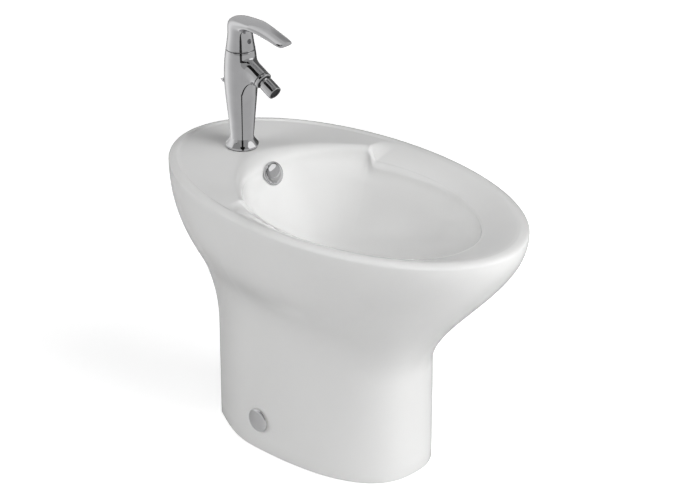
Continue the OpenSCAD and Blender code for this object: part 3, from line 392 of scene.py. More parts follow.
# mouth of the bowl, and how far each turn is past the shoulder: 0 on the deck, 1 on the seat
softTurn = ps["shoulderSoft"]
pastShoulder = easeIn((folded - rimTurn - ps["shoulderSet"] + softTurn) / (2 * softTurn))
mouthAngle = np.where(folded <= rimTurn, folded * mouthTurn / rimTurn,
                      mouthTurn + (folded - rimTurn) * (180 - mouthTurn) / (180 - rimTurn))
outward = ps["shoulderOut"] * np.minimum(mouthAngle / mouthTurn, 1) ** 3 * (1 - pastShoulder)
mouth = np.stack([sideOf * (ps["mouthHalf"] * np.sin(np.radians(mouthAngle)) + outward),
                  mouthY + mouthLength * np.cos(np.radians(mouthAngle))], 1)
mouth = softened(mouth, ps["mouthSoft"])
mouthWay = (mouth - wasteAt) / np.linalg.norm(mouth - wasteAt, axis=1)[:, None]
mouthR = np.linalg.norm(mouth - wasteAt, axis=1)
pastWall = easeIn((folded - rimTurn + ps["wallBefore"]) / (ps["wallBefore"] + ps["wallAfter"]))
roll = ps["lipBack"] * backPart ** 1.5                   # the lip rolls further in at the back
wallLine = softened(wasteAt + mouthWay * (mouthR - roll - 0.85 * outward)[:, None], ps["wallSoft"])
wallR = np.linalg.norm(wallLine - wasteAt, axis=1)
seatLip = ps["lip"] + ps["lipGrow"] * easeIn((rimTurn + ps["lipSpan"] - folded) / ps["lipSpan"])
lipOf = ps["deckLip"] + (seatLip - ps["deckLip"]) * pastShoulder
edgeZ = deckZ + (ps["rimHeight"] - ps["seatFall"] - deckZ) * pastShoulder
wallTop = deckZ + (ps["rimHeight"] - ps["seatFall"] - deckZ) * pastWall - ps["lip"] - roll / 2
lean, drop, flat = blended(10, 23, 6), blended(52, 64, 62), blended(0.62, 0.36, 0.6)


def bowlAt(k):
    # one line of the bowl wall per turn: distance from the waste, height
    return (cubic(wallR, wallR - lean, wallR * flat, 0, k), cubic(wallTop, wallTop - drop, bowlZ, bowlZ, k))


def onRay(r, z):
    xy = wasteAt + mouthWay * np.broadcast_to(r, (turnCount,))[:, None]
    return np.column_stack([xy, np.broadcast_to(z, (turnCount,))])


def level(xy, z):
    return np.column_stack([xy, np.broadcast_to(z, (turnCount,))])


def topAt(f):
    a = rimAt(ps["crestIn"] + 4)
    b = mouth + mouthWay * lipOf[:, None]
    seat = (ps["rimHeight"] - 0.6) + (edgeZ.min() - ps["rimHeight"] + 0.6) * f ** 1.15
    z = deckZ + (seat - deckZ) * pastShoulder
    return level(a * (1 - f) + b * f, z)


def panRows():
    rows = []
    holeR, bossR, recessR, under, recessZ = (
        ps[key] for key in ("wasteHole", "wasteBoss", "wasteRecess", "bossLow", "recessLow"))
    for r, z in ((holeR, under + 1), (holeR + 1, under), (bossR - 1.5, under),
                 (bossR, under + 1.5), (bossR, under + 6)):
        rows.append(onRay(r, z))
    for k in np.linspace(0.72, 0.1, 34):                 # underside of the bowl
        (r, z), (r2, z2) = bowlAt(k), bowlAt(k + 0.01)
        dr, dz = r2 - r, z2 - z
        n = np.hypot(dr, dz)
        rows.append(onRay(np.maximum(r - dz / n * ps["bowlWall"], bossR), z + dr / n * ps["bowlWall"]))
    rows.append(onRay(mouthR + ps["bowlWall"], edgeZ - ps["deckThick"] - 1))
    deckUnder = topAt(0.15)
    wall = wallAt(0.86, ps["footWall"] + 6)
    wallLimit = np.minimum(deckUnder[:, 2] - ps["deckThick"], wallZ(0.96))
    rows.append(level(wall, wallLimit))
    rows.append(level(wallAt(0.86, ps["footWall"]), np.minimum(wallZ(0.90), wallLimit - 4)))
    for k in np.linspace(0.84, 0.0, 26):                 # inside of the shell
        rows.append(level(wallAt(k, ps["footWall"]), np.minimum(wallZ(k), deckZ - ps["deckThick"] - 8)))
    inner = footAt(ps["footWall"])
    for z in (90.0, 30.0, 2.0):
        rows.append(level(inner, z))
    rows.append(level(footAt(ps["footWall"] - 2.0), 0.0))
    outer = footAt(0)
    for g, z in ((3.0, 0.0), (1.6, 0.3), (0.6, 1.1), (0.0, 3.0)):
        rows.append(level(footAt(g), z))
    for f in np.linspace(0.12, 0.96, 10):
        rows.append(level(outer, 3 + (waistZ - 3) * f))
    for k in np.linspace(0, 1, 74):                      # waist and flare
        rows.append(level(wallAt(k, 0), wallZ(k)))
    for a in np.radians(np.linspace(9, 90, 10)):         # crest
        rows.append(level(rimAt(ps["crestIn"] * (1 - math.cos(a))), crestZ + ps["crestDrop"] * math.sin(a)))
    inside = topAt(0.0)
    for f in (0.35, 0.7):                                # down from the crest to the deck or seat
        z = ps["rimHeight"] + (inside[:, 2] - ps["rimHeight"]) * easeIn(f)
        rows.append(level(rimAt(ps["crestIn"] + 4 * f), z))
    for f in np.linspace(0, 1, 26):
        rows.append(topAt(f))
    for a in np.radians(np.linspace(10, 90, 9)):         # lip
        rows.append(onRay(mouthR + lipOf - (lipOf + roll) * math.sin(a),
                          edgeZ - (lipOf + roll / 2) * (1 - math.cos(a))))
    startR, startZ = mouthR - roll, edgeZ - lipOf - roll / 2
    endR, endZ = bowlAt(0.16)
    nextR, nextZ = bowlAt(0.17)
    slope = np.stack([(nextR - endR), (nextZ - endZ)], 1) / 0.01
    reach = np.hypot(startR - endR, startZ - endZ)
    slope = slope / np.linalg.norm(slope, axis=1)[:, None] * reach[:, None]
    for k in np.linspace(0.1, 1, 10):                    # below the lip the shoulders fade
        h00, h10 = 2 * k ** 3 - 3 * k ** 2 + 1, k ** 3 - 2 * k ** 2 + k
        h01, h11 = -2 * k ** 3 + 3 * k ** 2, k ** 3 - k ** 2
        r = h00 * startR + h01 * endR + h11 * slope[:, 0]
        z = h00 * startZ - h10 * reach + h01 * endZ + h11 * slope[:, 1]
        rows.append(onRay(r, z))
    for k in np.linspace(0.17, 0.99, 64):
        r, z = bowlAt(k)
        if r.min() <= recessR + 3:
            break
        rows.append(onRay(r, z))
    ringR = recessR + 2.2                                # here the bowl meets the recess of the waste
    ringZ = np.zeros(turnCount)
    fine = [bowlAt(k) for k in np.linspace(0.3, 1, 600)]
    for j in range(turnCount):
        ringZ[j] = np.interp(ringR, [q[0][j] for q in fine][::-1], [q[1][j] for q in fine][::-1])
    for r, f in ((ringR, 0.0), (recessR + 0.8, 0.12), (recessR + 0.1, 0.45), (recessR, 0.7),
                 (recessR - 0.5, 1.0), (holeR + 1.2, 1.0)):
        rows.append(onRay(r, ringZ * (1 - f) + recessZ * f))
    rows.append(onRay(holeR, recessZ - 1.2))
    return rows


rows = panRows()
pan = addPiece("panCeramic", np.concatenate(rows), gridFaces(len(rows), turnCount, ends="loop"),
               "pan", "china", ["ceramic_body"], sharp=50)
print("pan skinned:", len(rows), "rows")


# openings of the pan

overflowShape = {"y": 140.5, "down": 25.5, "tilt": 23.0, "bore": 9.0, "coverR": 16.8, "coverHeight": 7.0}
sideShape = {"y": 64.0, "z": 50.0, "x": 106.5, "capR": 17.5, "capHeight": 7.0, "face": -0.5, "base": 1.6, "screwR": 5.1}
tapHole = {"y": 202.0, "r": 17.5, "seatR": 24.5, "gasket": 1.2}
fs, ss = overflowShape, sideShape
tapY = tapHole["y"]
tapZ = deckZ + tapHole["gasket"]
overTilt = math.radians(fs["tilt"])
overAt = np.array([0.0, fs["y"], ps["rimHeight"] - fs["down"]])
overAxis = np.array([0.0, -math.cos(overTilt), math.sin(overTilt)])
overFrame = frameOf(overAt, overAxis)
sideFrames = [frameOf((s * ss["x"], ss["y"], ss["z"]), (s, 0, 0), (0, 0, 1)) for s in (-1, 1)]


def rod(a, b, r, turns=48):
    a, b = np.array(a, float), np.array(b, float)
    length = np.linalg.norm(b - a)
    points, faces = lathe([(0, 0), (r, 0), (r, length), (0, length)], turns)
    up = (1, 0, 0) if abs((b - a)[0]) < 0.9 * length else (0, 0, 1)
    return placed(points, frameOf(a, b - a, up)), faces


def archOutline(half, height, grow, n=24):
    # the back opening, seen from behind: (x, z)
    a = np.linspace(0, math.pi, n * 2 + 1)
    top = height - half
    line = [((half + grow) * math.cos(q), top + (half + grow) * math.sin(q)) for q in a]
    return [(half + grow, -5.0 - grow)] + line + [(-half - grow, -5.0 - grow)]


def backWallY(x, z, inward):
    # where the back wall stands at (x, z), from the same lines as the skin
    best = np.full(len(x), ps["footBack"] - inward)
    behind = np.where(folded < 62)[0]
    grid = [np.column_stack([wallAt(k, inward)[behind], wallZ(k)[behind]]) for k in np.linspace(0, 0.9, 40)]
    for i in range(len(x)):
        if z[i] < ps["waistBack"] - 2:
            line = footAt(inward)[behind]
            order = np.argsort(line[:, 0])
            best[i] = np.interp(x[i], line[order, 0], line[order, 1])
        else:
            column = []
            for row in grid:
                across, y, height = row[np.argsort(row[:, 0])].T
                column.append((np.interp(x[i], across, height), np.interp(x[i], across, y)))
            column = np.array(column)
            best[i] = np.interp(z[i], column[:, 0], column[:, 1])
    return best


def backCutter():
    # a plug for the back opening whose rim is flared by a small radius where it leaves the wall
    half, height = ps["backGapHalf"], ps["backGapHeight"]
    rings = []
    plain = np.array(archOutline(half, height, 0))
    outerY = backWallY(plain[:, 0], plain[:, 1], 0)
    for grow, dy in ((0, -26), (0, -3.2), (0.5, -1.5), (1.5, -0.5), (3.2, 0.05), (4.5, 0.3), (4.5, 90)):
        line = np.array(archOutline(half, height, grow))
        y = outerY + dy if dy < 90 else np.full(len(line), 330.0)
        rings.append(np.column_stack([line[:, 0], y, line[:, 1]]))
    return np.concatenate(rings), gridFaces(len(rings), len(plain), ends="capped")


def drill(origin, axis, steps, turns=64):
    # a stepped plug: (radius, height) pairs along the axis
    up = (1, 0, 0) if abs(axis[0]) < 0.9 else (0, 0, 1)
    points, faces = lathe([(0, steps[0][1])] + list(steps) + [(0, steps[-1][1])], turns)
    return placed(points, frameOf(origin, axis, up)), faces


deckUnderZ = deckZ - ps["deckThick"]
bore, coverHole, capHole = fs["bore"], fs["coverR"] + 0.6, ss["capR"] + 1
tapSteps = [(tapHole["seatR"], deckUnderZ - 12), (tapHole["seatR"], deckUnderZ),
            (tapHole["r"], deckUnderZ), (tapHole["r"], deckZ + 5)]
capSteps = [(ss["screwR"], -17), (ss["screwR"], ss["face"]), (capHole, ss["face"]), (capHole, 6)]
cutters = [backCutter(), drill((0, tapY, 0), (0, 0, 1), tapSteps),
           drill(overAt, overAxis, [(bore, -30), (bore, 0), (coverHole, 0), (coverHole, 14)], 72)]
cutters += [drill(place[:3, 3], place[:3, 2], capSteps) for place in sideFrames]
cut(pan, cutters, "panCutters")
print("pan openings cut:", len(pan.data.polygons), "faces")


# tap body with its branch

tapShape = {
    "baseR": 23.5, "baseHeight": 3.0, "neckR": 16.3, "neckHeight": 15.0, "bell": 1.5,
    "bellyR": 24.0, "bellyHeight": 101.0, "topR": 20.8, "height": 147.0, "turns": 144,
    "branchTurn": 57.0, "branchUp": 30.0, "branchDown": 32.0,      # how far the branch spreads on the body
    "rodOut": 12.0, "rodBore": 2.7, "slotHalf": 2.3, "knobHeight": 89.0, "liftTravel": 28.0,
    "inletOut": 8.2, "inletR": 4.5, "inletDeep": 18.0,
}
jetShape = {"out": 47.0, "height": 110.0, "drop": 27.4, "collarR": 13.0,
            "collarBack": 6.4, "aimBack": 22.0, "endBack": 50.0,           # stations of the branch behind the jet
            "ballR": 8.2, "nozzleR": 10.3, "nozzleLength": 24.6, "bars": 9}
ts, js = tapShape, jetShape
jetDrop = math.radians(js["drop"])
jetAt = np.array([0.0, tapY - js["out"], tapZ + js["height"]])
jetAxis = np.array([0.0, -math.cos(jetDrop), -math.sin(jetDrop)])
jetFrame = frameOf(jetAt, jetAxis)
tapFrame = frameOf((0, tapY, tapZ), (0, 0, 1))


def bodyR(h):
    v = (h - ts["neckHeight"]) / (ts["bellyHeight"] - ts["neckHeight"])
    w = (h - ts["bellyHeight"]) / (ts["height"] - ts["bellyHeight"])
    if h <= ts["bellyHeight"]:
        return ts["neckR"] + (ts["bellyR"] - ts["neckR"]) * (1.12 * v - 0.12 * v ** 3)
    return ts["bellyR"] - (ts["bellyR"] - ts["topR"]) * w ** 2.3


def tapProfile():
    base, topR, top = ts["baseR"], ts["topR"], ts["height"]
    path = [(0, 0), (base - 0.8, 0), (base - 0.25, 0.2), (base, 0.8), (base, ts["baseHeight"] - 0.8)]
    rise = ts["neckHeight"] - ts["baseHeight"]
    for t in np.linspace(0, 1, 20):
        path.append((ts["neckR"] + (base - ts["neckR"]) * (1 - t) ** ts["bell"], ts["baseHeight"] + rise * t))
    path += [(bodyR(h), h) for h in np.linspace(ts["neckHeight"], top - 1.0, 62)[1:]]
    path += [(topR - 0.1, top - 0.6), (topR - 0.5, top - 0.1), (topR - 0.9, top), (0, top)]
    smooth = np.array(path)
    for _ in range(3):                                   # eases the joints of the profile
        smooth[8:-6] = 0.25 * smooth[7:-7] + 0.5 * smooth[8:-6] + 0.25 * smooth[9:-5]
    return smooth


def branchRings(turns=96, steps=34):
    # the lines leave the collar along the jet's axis; over the top they stay straight, at the sides they flare
    q = np.arange(turns) * 2 * math.pi / turns
    collar, aimAt, endAt = (jetAt - d * jetAxis for d in (js["collarBack"], js["aimBack"], js["endBack"]))
    side, rise = np.array([1.0, 0, 0]), np.cross(jetAxis, [1.0, 0, 0])
    if rise[2] < 0:
        rise = -rise
    rings = np.zeros((steps + 1, turns, 3))
    b = np.linspace(0, 2 * math.pi, 4001)                # the branch's edge on the body
    across, along = np.sin(b), np.cos(b)
    edgeTurn = math.radians(ts["branchTurn"]) * np.sign(across) * np.abs(across) ** 0.75
    edgeHeight = np.where(along > 0, ts["branchUp"], ts["branchDown"]) * np.sign(along) * np.abs(along) ** 0.4
    length = np.concatenate([[0], np.cumsum(np.hypot(ts["bellyR"] * np.diff(edgeTurn), np.diff(edgeHeight)))])
    for j, a in enumerate(q):
        up = math.cos(a)
        p0 = collar + js["collarR"] * (math.sin(a) * side + up * rise)
        at = length[-1] * j / turns
        h = min(js["height"] + np.interp(at, length, edgeHeight), ts["height"] - 5)
        angle = np.interp(at, length, edgeTurn)
        r = bodyR(h)
        foot = np.array([r * math.sin(angle), tapY - r * math.cos(angle), tapZ + h])
        normal = np.array([math.sin(angle), -math.cos(angle), -(bodyR(h + 1) - bodyR(h - 1)) / 2])
        normal /= np.linalg.norm(normal)
        out = foot - aimAt
        out -= np.dot(out, normal) * normal
        out /= np.linalg.norm(out)
        foot = foot - 0.06 * normal
        span = np.linalg.norm(foot - p0)
        over, under = max(up, 0) ** 1.5, max(-up, 0) ** 1.5
        p1 = p0 - jetAxis * ((0.46 + 0.30 * over - 0.16 * under) * span)
        p2 = foot - out * ((0.46 - 0.30 * over - 0.16 * under) * span)
        for i, k in enumerate(np.linspace(0, 1, steps + 1)):
            rings[i, j] = cubic(p0, p1, p2, foot, k)
    inner = rings[-1] + 0.5 * (endAt - rings[-1])
    lip = [collar + (rings[0] - collar) * f + jetAxis * d for f, d in ((0.8, 0.3), (0.965, 0.3), (0.99, 0.12))]
    return lip + list(rings) + [inner]


points, faces = lathe(tapProfile(), ts["turns"])
rings = branchRings()
points, faces = join([(placed(points, tapFrame), faces),
                      (np.concatenate(rings), gridFaces(len(rings), len(rings[0]), ends="capped"))])
tap = addPiece("tapBody", points, faces, "pan", "chrome", ["tap_body"], sharp=50)
rodY, knobZ = tapY + ts["rodOut"], tapZ + ts["knobHeight"]
slotLow, slotHigh = knobZ - ts["liftTravel"] - ts["slotHalf"], knobZ + ts["slotHalf"]


def slotOutline(half, low, high, n=10):
    a = np.linspace(0, math.pi, n)
    return [(half * math.cos(t), high - half + half * math.sin(t)) for t in a] + \
           [(-half * math.cos(t), low + half - half * math.sin(t)) for t in a]


slotPoints, slotFaces = prism(slotOutline(ts["slotHalf"], slotLow, slotHigh), 0, 30)
slotPoints = np.column_stack([slotPoints[:, 0], rodY + slotPoints[:, 2], slotPoints[:, 1]])
bores = [(slotPoints, slotFaces), rod((0, rodY, tapZ - 1), (0, rodY, knobZ + 8), ts["rodBore"], 32)]
for x in (-ts["inletOut"], ts["inletOut"]):
    bores.append(rod((x, tapY - 2, tapZ - 1), (x, tapY - 2, tapZ + ts["inletDeep"]), ts["inletR"], 40))
cut(tap, bores, "tapCutters", True)
gasketLine = [(17.5, 0, 0), (22.5, 0, 0.2), (22.7, 0.6, 0.3), (22.5, 1.2, 0.2), (17.5, 1.2, 0), (17.5, 0, 0)]
addPiece("baseGasket", *turned(frameOf((0, tapY, deckZ), (0, 0, 1)), gasketLine),
         "pan", "rubber", ["base_gasket"])
print("tap body made")


# lever handle

leverShape = {
    "top": 47.8, "reach": 91.0, "fall": 13.0, "bladeHalf": 13.25, "bladeThick": 7.5, "rootThick": 12.0,
    "capR": 17.5, "rootOut": 3.4, "fanEnd": 97.0, "bladeEnd": 108.0, "arch": 2.5, "corner": 12.0, "crown": 2.05,
    "edge": 0.27, "tipFrom": 0.86, "tipIn": 0.2,         # the blade narrows near its tip
    "dotR": 3.4, "dotHeight": 162.0, "turns": 96, "smoothing": 14,
    "gap": 0.35, "pivotIn": 14.0, "hollowR": 25.34,      # the handle runs on a dome, so it is hollow underneath
}
ls = leverShape
leverTop = tapZ + ts["height"] + ls["top"]
innerCorner = np.array([tapY - ls["capR"], leverTop - ls["rootThick"]])
cornerCentre = innerCorner - ls["corner"]
skirtZ = tapZ + ts["height"] + ls["gap"]
riseEnd = cornerCentre[1] - 1                            # here the round neck of the handle starts to fan out


def riseR(k):
    return ts["topR"] + (ls["capR"] - ts["topR"]) * k ** 0.9


def wayOf(a):
    return np.array([math.cos(math.radians(a)), math.sin(math.radians(a))])


def fanDepth(a):
    # thickness along a line from the centre of the rounded inner corner
    t = np.linspace(ls["corner"], 80, 3000)
    back, up = np.maximum(np.outer(t, wayOf(a)) - ls["corner"], 0).T
    outline = (back / (2 * ls["capR"])) ** 3.2 + (up / ls["rootThick"]) ** 3.2
    return float(np.interp(1, outline, t)) - ls["corner"]


def fanInner(a):
    return cornerCentre + ls["corner"] * wayOf(a)


def fanHalf(a):
    w = max(math.sin(math.radians(min(a, 90))), 0) ** 4
    return ls["capR"] + (ls["bladeHalf"] + ls["rootOut"] - ls["capR"]) * w


def bladeInner(k):
    end = np.array([tapY - ls["reach"], leverTop - ls["fall"] - ls["bladeThick"]])
    start = fanInner(ls["fanEnd"])
    return start + (end - start) * k + np.array([0, ls["arch"] * math.sin(math.pi * k) * (1 - k) ** 0.6])


def handleRing(p, a, depth, half, square, edge=0.5):
    # edge tells how far up the widest line lies: 0.5 is a full oval, less gives a flat underside
    a = math.radians(a)
    q = -2 * math.pi * np.arange(ls["turns"]) / ls["turns"]
    down, across = np.cos(q), np.sin(q)
    u = depth * (edge - np.where(down > 0, edge, 1 - edge) * np.sign(down) * np.abs(down) ** (2 / square))
    x = half * np.sign(across) * np.abs(across) ** (2 / square)
    return np.column_stack([x, p[0] + u * math.cos(a), p[1] + u * math.sin(a)])


def handleRings():
    rings = []
    for k in np.linspace(0, 1, 24):
        r = riseR(k)
        rings.append(handleRing((tapY - r, skirtZ + (riseEnd - skirtZ) * k), 0, 2 * r, r, 2))
    for a in np.linspace(0, ls["fanEnd"], 60)[1:]:
        rings.append(handleRing(fanInner(a), a, fanDepth(a), fanHalf(a), 2 + 0.4 * min(1, a / 90)))
    for k in np.linspace(0, 1, 60)[1:]:
        depth = fanDepth(ls["fanEnd"]) + (ls["bladeThick"] - fanDepth(ls["fanEnd"])) * k ** 1.3
        half = ls["bladeHalf"] + ls["rootOut"] * (1 - k) ** 2
        half *= 1 - ls["tipIn"] * max((k - ls["tipFrom"]) / (1 - ls["tipFrom"]), 0) ** 2.4
        rings.append(handleRing(bladeInner(k), ls["fanEnd"] + (ls["bladeEnd"] - ls["fanEnd"]) * k, depth, half,
                                2.4 + (ls["crown"] - 2.4) * k, 0.5 + (ls["edge"] - 0.5) * min(1, 2.2 * k)))
    rings = np.array(rings)
    for _ in range(ls["smoothing"]):                     # rounds the inner corner and the run of the blade
        rings[6:-3] = 0.25 * rings[5:-4] + 0.5 * rings[6:-3] + 0.25 * rings[7:-2]
    tip, back = rings[-1], rings[-2]
    middle = tip.mean(0)
    way = (tip - back).mean(0)
    way /= np.linalg.norm(way)
    ends = []
    for inset, ahead in ((0.9, 0.0), (0.62, 0.25), (0.3, 0.34)):
        ends.append(middle + (tip - middle) * inset + way * ahead)
    skirt = rings[0]
    foot = skirt.mean(0)
    starts = [foot + (skirt - foot) * f + np.array([0, 0, z]) for f, z in ((0.8, 0.0), (0.955, 0.0), (0.985, 0.15))]
    rings[0] += np.array([0, 0, 0.7])                    # a small bevel over the joint line
    return starts + list(rings) + ends


rings = handleRings()
lever = addPiece("leverHandle", np.concatenate(rings), gridFaces(len(rings), ls["turns"], ends="capped"),
                 "lever", "chrome", ["lever_handle"], sharp=60)
dotZ = tapZ + ls["dotHeight"]
dotFace = tapY - riseR((dotZ - skirtZ) / (riseEnd - skirtZ))
pivotZ = tapZ + ts["height"] - ls["pivotIn"]
hollow = [(ls["hollowR"] * math.cos(a), ls["hollowR"] * math.sin(a)) for a in np.radians(np.linspace(-90, 90, 73))]
points, faces = lathe(hollow)
cut(lever, [rod((0, dotFace + 2.4, dotZ), (0, dotFace - 6, dotZ), ls["dotR"] + 0.15, 48),
            (placed(points, frameOf((0, tapY, pivotZ), (0, 0, 1))), faces)], "leverCutter", True)
dotLine = [(0, 0, 0), (ls["dotR"], 0, 0), (ls["dotR"], 1.9, 0.6), (0, 2.15, 0)]
addPiece("indicatorDot", *turned(frameOf((0, dotFace + 2.0, dotZ), (0, -1, 0)), dotLine, 48),
         "lever", "marker", ["indicator_plug"])
# A dark ring with the rubber finish fills the hairline joint between body and handle. It is painted shade that stands
# in for the shade in that gap.
ringR, ringLow, ringHigh = ts["topR"] - 0.12, ts["height"] - 0.5, ts["height"] + 0.55
jointShadeLine = [(16, ringLow, 0), (ringR, ringLow, 0.15), (ringR, ringHigh, 0.1), (16, ringHigh, 0), (16, ringLow, 0)]
addPiece("jointShadeRing", *turned(tapFrame, jointShadeLine), "pan", "rubber")
print("lever made")


# swivel jet

collarR = js["collarR"]
collarLine = [(9.5, -1.7, 0), (11.2, -1.7, 0), (11.2, -0.2, 0.3), (collarR - 1.4, 0, 0.3), (collarR, -0.9, 0.7),
              (collarR, -4.6, 0.3), (collarR - 0.5, -4.8, 0), (11, -4.8, 0), (11, -6.3, 0), (9.5, -6.3, 0),
              (9.5, -1.7, 0)]
addPiece("jetCollar", *turned(jetFrame, collarLine), "pan", "chrome", ["jet_collar"])
# Dark plastic seat rings round the ball and in the groove between branch and collar. Besides being seats, they are
# painted shade that stands in for the shade in that groove and round the ball.
seatAndShadeLines = [[(8.7, -1.6, 0), (11.0, -1.6, 0), (11.0, -0.3, 0.3), (9.7, 1.0, 0.3), (8.7, 1.0, 0), (8.7, -1.6, 0)],
             [(11.2, -6.3, 0), (12.45, -6.3, 0.2), (12.45, -4.9, 0.2), (11.2, -4.9, 0), (11.2, -6.3, 0)]]
addPiece("jetSeatsAndGrooveShade", *join([turned(jetFrame, line) for line in seatAndShadeLines]), "pan", "dark_plastic")
ballR, nozzleR, nozzleEnd = js["ballR"], js["nozzleR"], js["nozzleLength"]
nozzleLine = [(0, -9.5, 0)]
nozzleLine += [(ballR * math.sin(a), -3 - ballR * math.cos(a), 0) for a in np.radians(np.linspace(35, 128, 24))]
nozzleLine += [(6.4, 3.4, 0.3), (nozzleR - 0.5, 3.6, 0.5), (nozzleR, 4.3, 0.5), (nozzleR, nozzleEnd - 0.2, 0.9),
               (nozzleR - 1.5, nozzleEnd, 0.5), (nozzleR - 1.5, nozzleEnd - 10, 0), (0, nozzleEnd - 10, 0)]
addPiece("jetNozzle", *turned(jetFrame, nozzleLine), "jet", "chrome", ["jet_nozzle"])
screenR, screenZ = nozzleR - 1.6, nozzleEnd - 0.9
screenLine = [(screenR - 1.1, screenZ - 8, 0), (screenR, screenZ - 8, 0), (screenR, screenZ, 0.3),
              (screenR - 1.1, screenZ - 0.1, 0.3), (screenR - 1.3, screenZ - 6, 0), (0, screenZ - 6, 0)]
screenParts = [turned(jetFrame, screenLine, 72)]
for n in range(js["bars"]):                              # crossed bars of the stream former
    at = (n - (js["bars"] - 1) / 2) * 2 * screenR / (js["bars"] + 1)
    half = math.sqrt(max(screenR ** 2 - at ** 2, 1)) - 0.4
    for turned90 in (False, True):
        line = [(-half, at - 0.28), (half, at - 0.28), (half, at + 0.28), (-half, at + 0.28)]
        if turned90:
            line = [(y, x) for x, y in line][::-1]
        ahead = 0.05 if turned90 else 0
        points, faces = prism(line, screenZ - 5 + ahead, screenZ - 0.7 + ahead)
        screenParts.append((placed(points, jetFrame), faces))
addPiece("jetScreen", *join(screenParts), "jet", "dark_plastic", ["jet_aerator"], sharp=30)
print("jet made")


# pop-up knob, side caps, overflow cover, waste

knobFrame = frameOf((0, rodY, knobZ), (0, 1, 0))
knobLine = [(0, 0, 0), (1.15, 0, 0), (1.15, 2.5, 0), (1.6, 2.6, 0.3), (1.5, 21, 1), (2.9, 22.6, 0.6), (2.9, 25.4, 0.6),
            (1.3, 26.6, 0.6), (1.15, 29.6, 0.6), (0, 30.2, 0)]
addPiece("liftKnob", *turned(knobFrame, knobLine, 48), "lift", "chrome", ["lift_knob"])


def domed(r, low, high, first, steps, powerR=1.0, powerZ=1.0):
    # powers under 1 make the dome fuller
    angles = np.radians(np.linspace(first, 84, steps))
    return [(r * math.cos(a) ** powerR, low + (high - low) * math.sin(a) ** powerZ, 0) for a in angles]


low, high, r = ss["face"] + ss["base"], ss["face"] + ss["capHeight"], ss["capR"]
capLine = [(r - 3, low, 0), (r - 0.3, low, 0.3), (r, low + 0.3, 0.3), (r, low + 1.6, 0.5)]
capLine += domed(r * 0.985, low + 1.9, high, 4, 16) + [(0, high, 0)]
addPiece("sideCaps", *join([turned(place, capLine) for place in sideFrames]),
         "pan", "chrome", ["side_caps"], sharp=60)

r, high = fs["coverR"], fs["coverHeight"]
coverLine = [(r - 3, 0, 0), (r, 0, 0.4), (r, 3.1, 0.7), (r - 1.5, 3.1, 0.5)]
coverLine += domed(r - 1.9, 3.0, high, 3, 18, 0.85, 0.9) + [(0, high, 0)]
addPiece("overflowCover", *turned(overFrame, coverLine),
         "pan", "chrome", ["overflow_cover"], sharp=60)

wasteFrame = frameOf((0, ps["wasteY"], bowlZ - 1.5), (0, 0, 1))
flangeLine = [(18, -59, 0), (20.5, -59, 0), (20.5, 0, 0), (31, 0, 0.3), (31, 1.6, 0.8), (28, 3, 2.0),
              (20.6, 3, 0.9), (18, 1, 0.6), (18, -59, 0)]
addPiece("wasteFlange", *turned(wasteFrame, flangeLine),
         "pan", "chrome", ["waste_flange"], sharp=50)
print("small fittings made")


# floor, light and camera

studio = {
    "floorSize": 18.0, "floorColour": (0.80, 0.80, 0.80), "floorLift": 0.66, "floorFar": 3.4,
    "sky": 0.01,                                         # world light on the object
    "aim": (0.0, 0.0, 0.32),
    # soft lamps: (power, place, size)
    "lamps": {"key": (62.0, (0.7, -2.9, 1.75), 2.2), "front": (18.0, (-2.0, -2.6, 1.6), 2.2),
              "top": (45.0, (0.3, -2.2, 3.0), 2.2), "back": (67.0, (-2.6, 2.0, 2.0), 2.4)},
}
# what polished metal sees round the tap: (turn from the camera's side, brightness)
tentShape = {
    "radius": 4.0, "high": 5.5, "turns": 96, "cameraTurn": 0.125,
    "below": [(-0.5, 0.06), (-0.43, 0.08), (-0.40, 0.62), (-0.33, 1.0), (-0.285, 0.98), (-0.25, 0.80), (-0.21, 0.66),
              (-0.15, 0.55), (0.19, 0.53), (0.32, 0.60), (0.35, 0.30), (0.39, 0.04)],
    "above": [(-0.5, 0.56), (-0.40, 0.56), (-0.33, 0.95), (-0.26, 0.95), (-0.20, 0.56), (-0.16, 0.52), (-0.12, 0.36),
              (0.14, 0.36), (0.18, 0.52), (0.31, 0.56), (0.36, 0.12), (0.43, 0.12), (0.47, 0.56)],
    "ceiling": [(-0.5, 0.62), (-0.40, 0.80), (-0.20, 0.86), (-0.15, 0.50), (-0.10, 0.32), (0.30, 0.30), (0.42, 0.48)],
    "gapTurn": 0.010,                                    # the dark gap at the camera, wide far up
    "gap": [(20, 1.6), (60, 4), (190, 13), (400, 40), (1000, 130), (2000, 330), (3950, 800)],
    "gapFar": 3950, "gapTop": 1500, "gapCeiling": (1300, 520),
    "slotTurns": (-0.175, -0.095), "slotLow": 2700, "slotIn": 2300, "slotSteps": 8,      # dark slot high on the left
    # cards: (turn, distance, height over the rim, width, height, brightness, level)
    "cards": {"baseCard": (-0.130, 60.0, 52.0, 50.0, 64.0, 0.31, True),
              "coverCard": (0.236, 3700.0, 2000.0, 3600.0, 3800.0, 1.2, False)},
}
cameraFrom, cameraTo = (-2.31004, -2.28632, 1.9123), (0.04455, 0.0318, 0.27631)
sensorWidth = 36.0
cameraLens = 2617.67 / 700 * sensorWidth                 # solved for a picture 700 wide


def aimed(thing, start, end):
    thing.location = start
    thing.rotation_euler = (Vector(end) - Vector(start)).to_track_quat("-Z", "Y").to_euler()


def pathSwitch(tree, names):
    path = tree.nodes.new("ShaderNodeLightPath")
    value = None
    for name in names:
        if value is None:
            value = path.outputs[name]
            continue
        both = tree.nodes.new("ShaderNodeMath")
        both.operation = "MAXIMUM"
        tree.links.new(value, both.inputs[0])
        tree.links.new(path.outputs[name], both.inputs[1])
        value = both.outputs[0]
    return value


def mixedBy(tree, choice, first, second):
    mix = tree.nodes.new("ShaderNodeMixShader")
    for n, value in enumerate((choice, first, second)):
        tree.links.new(value, mix.inputs[n])
    return mix.outputs[0]


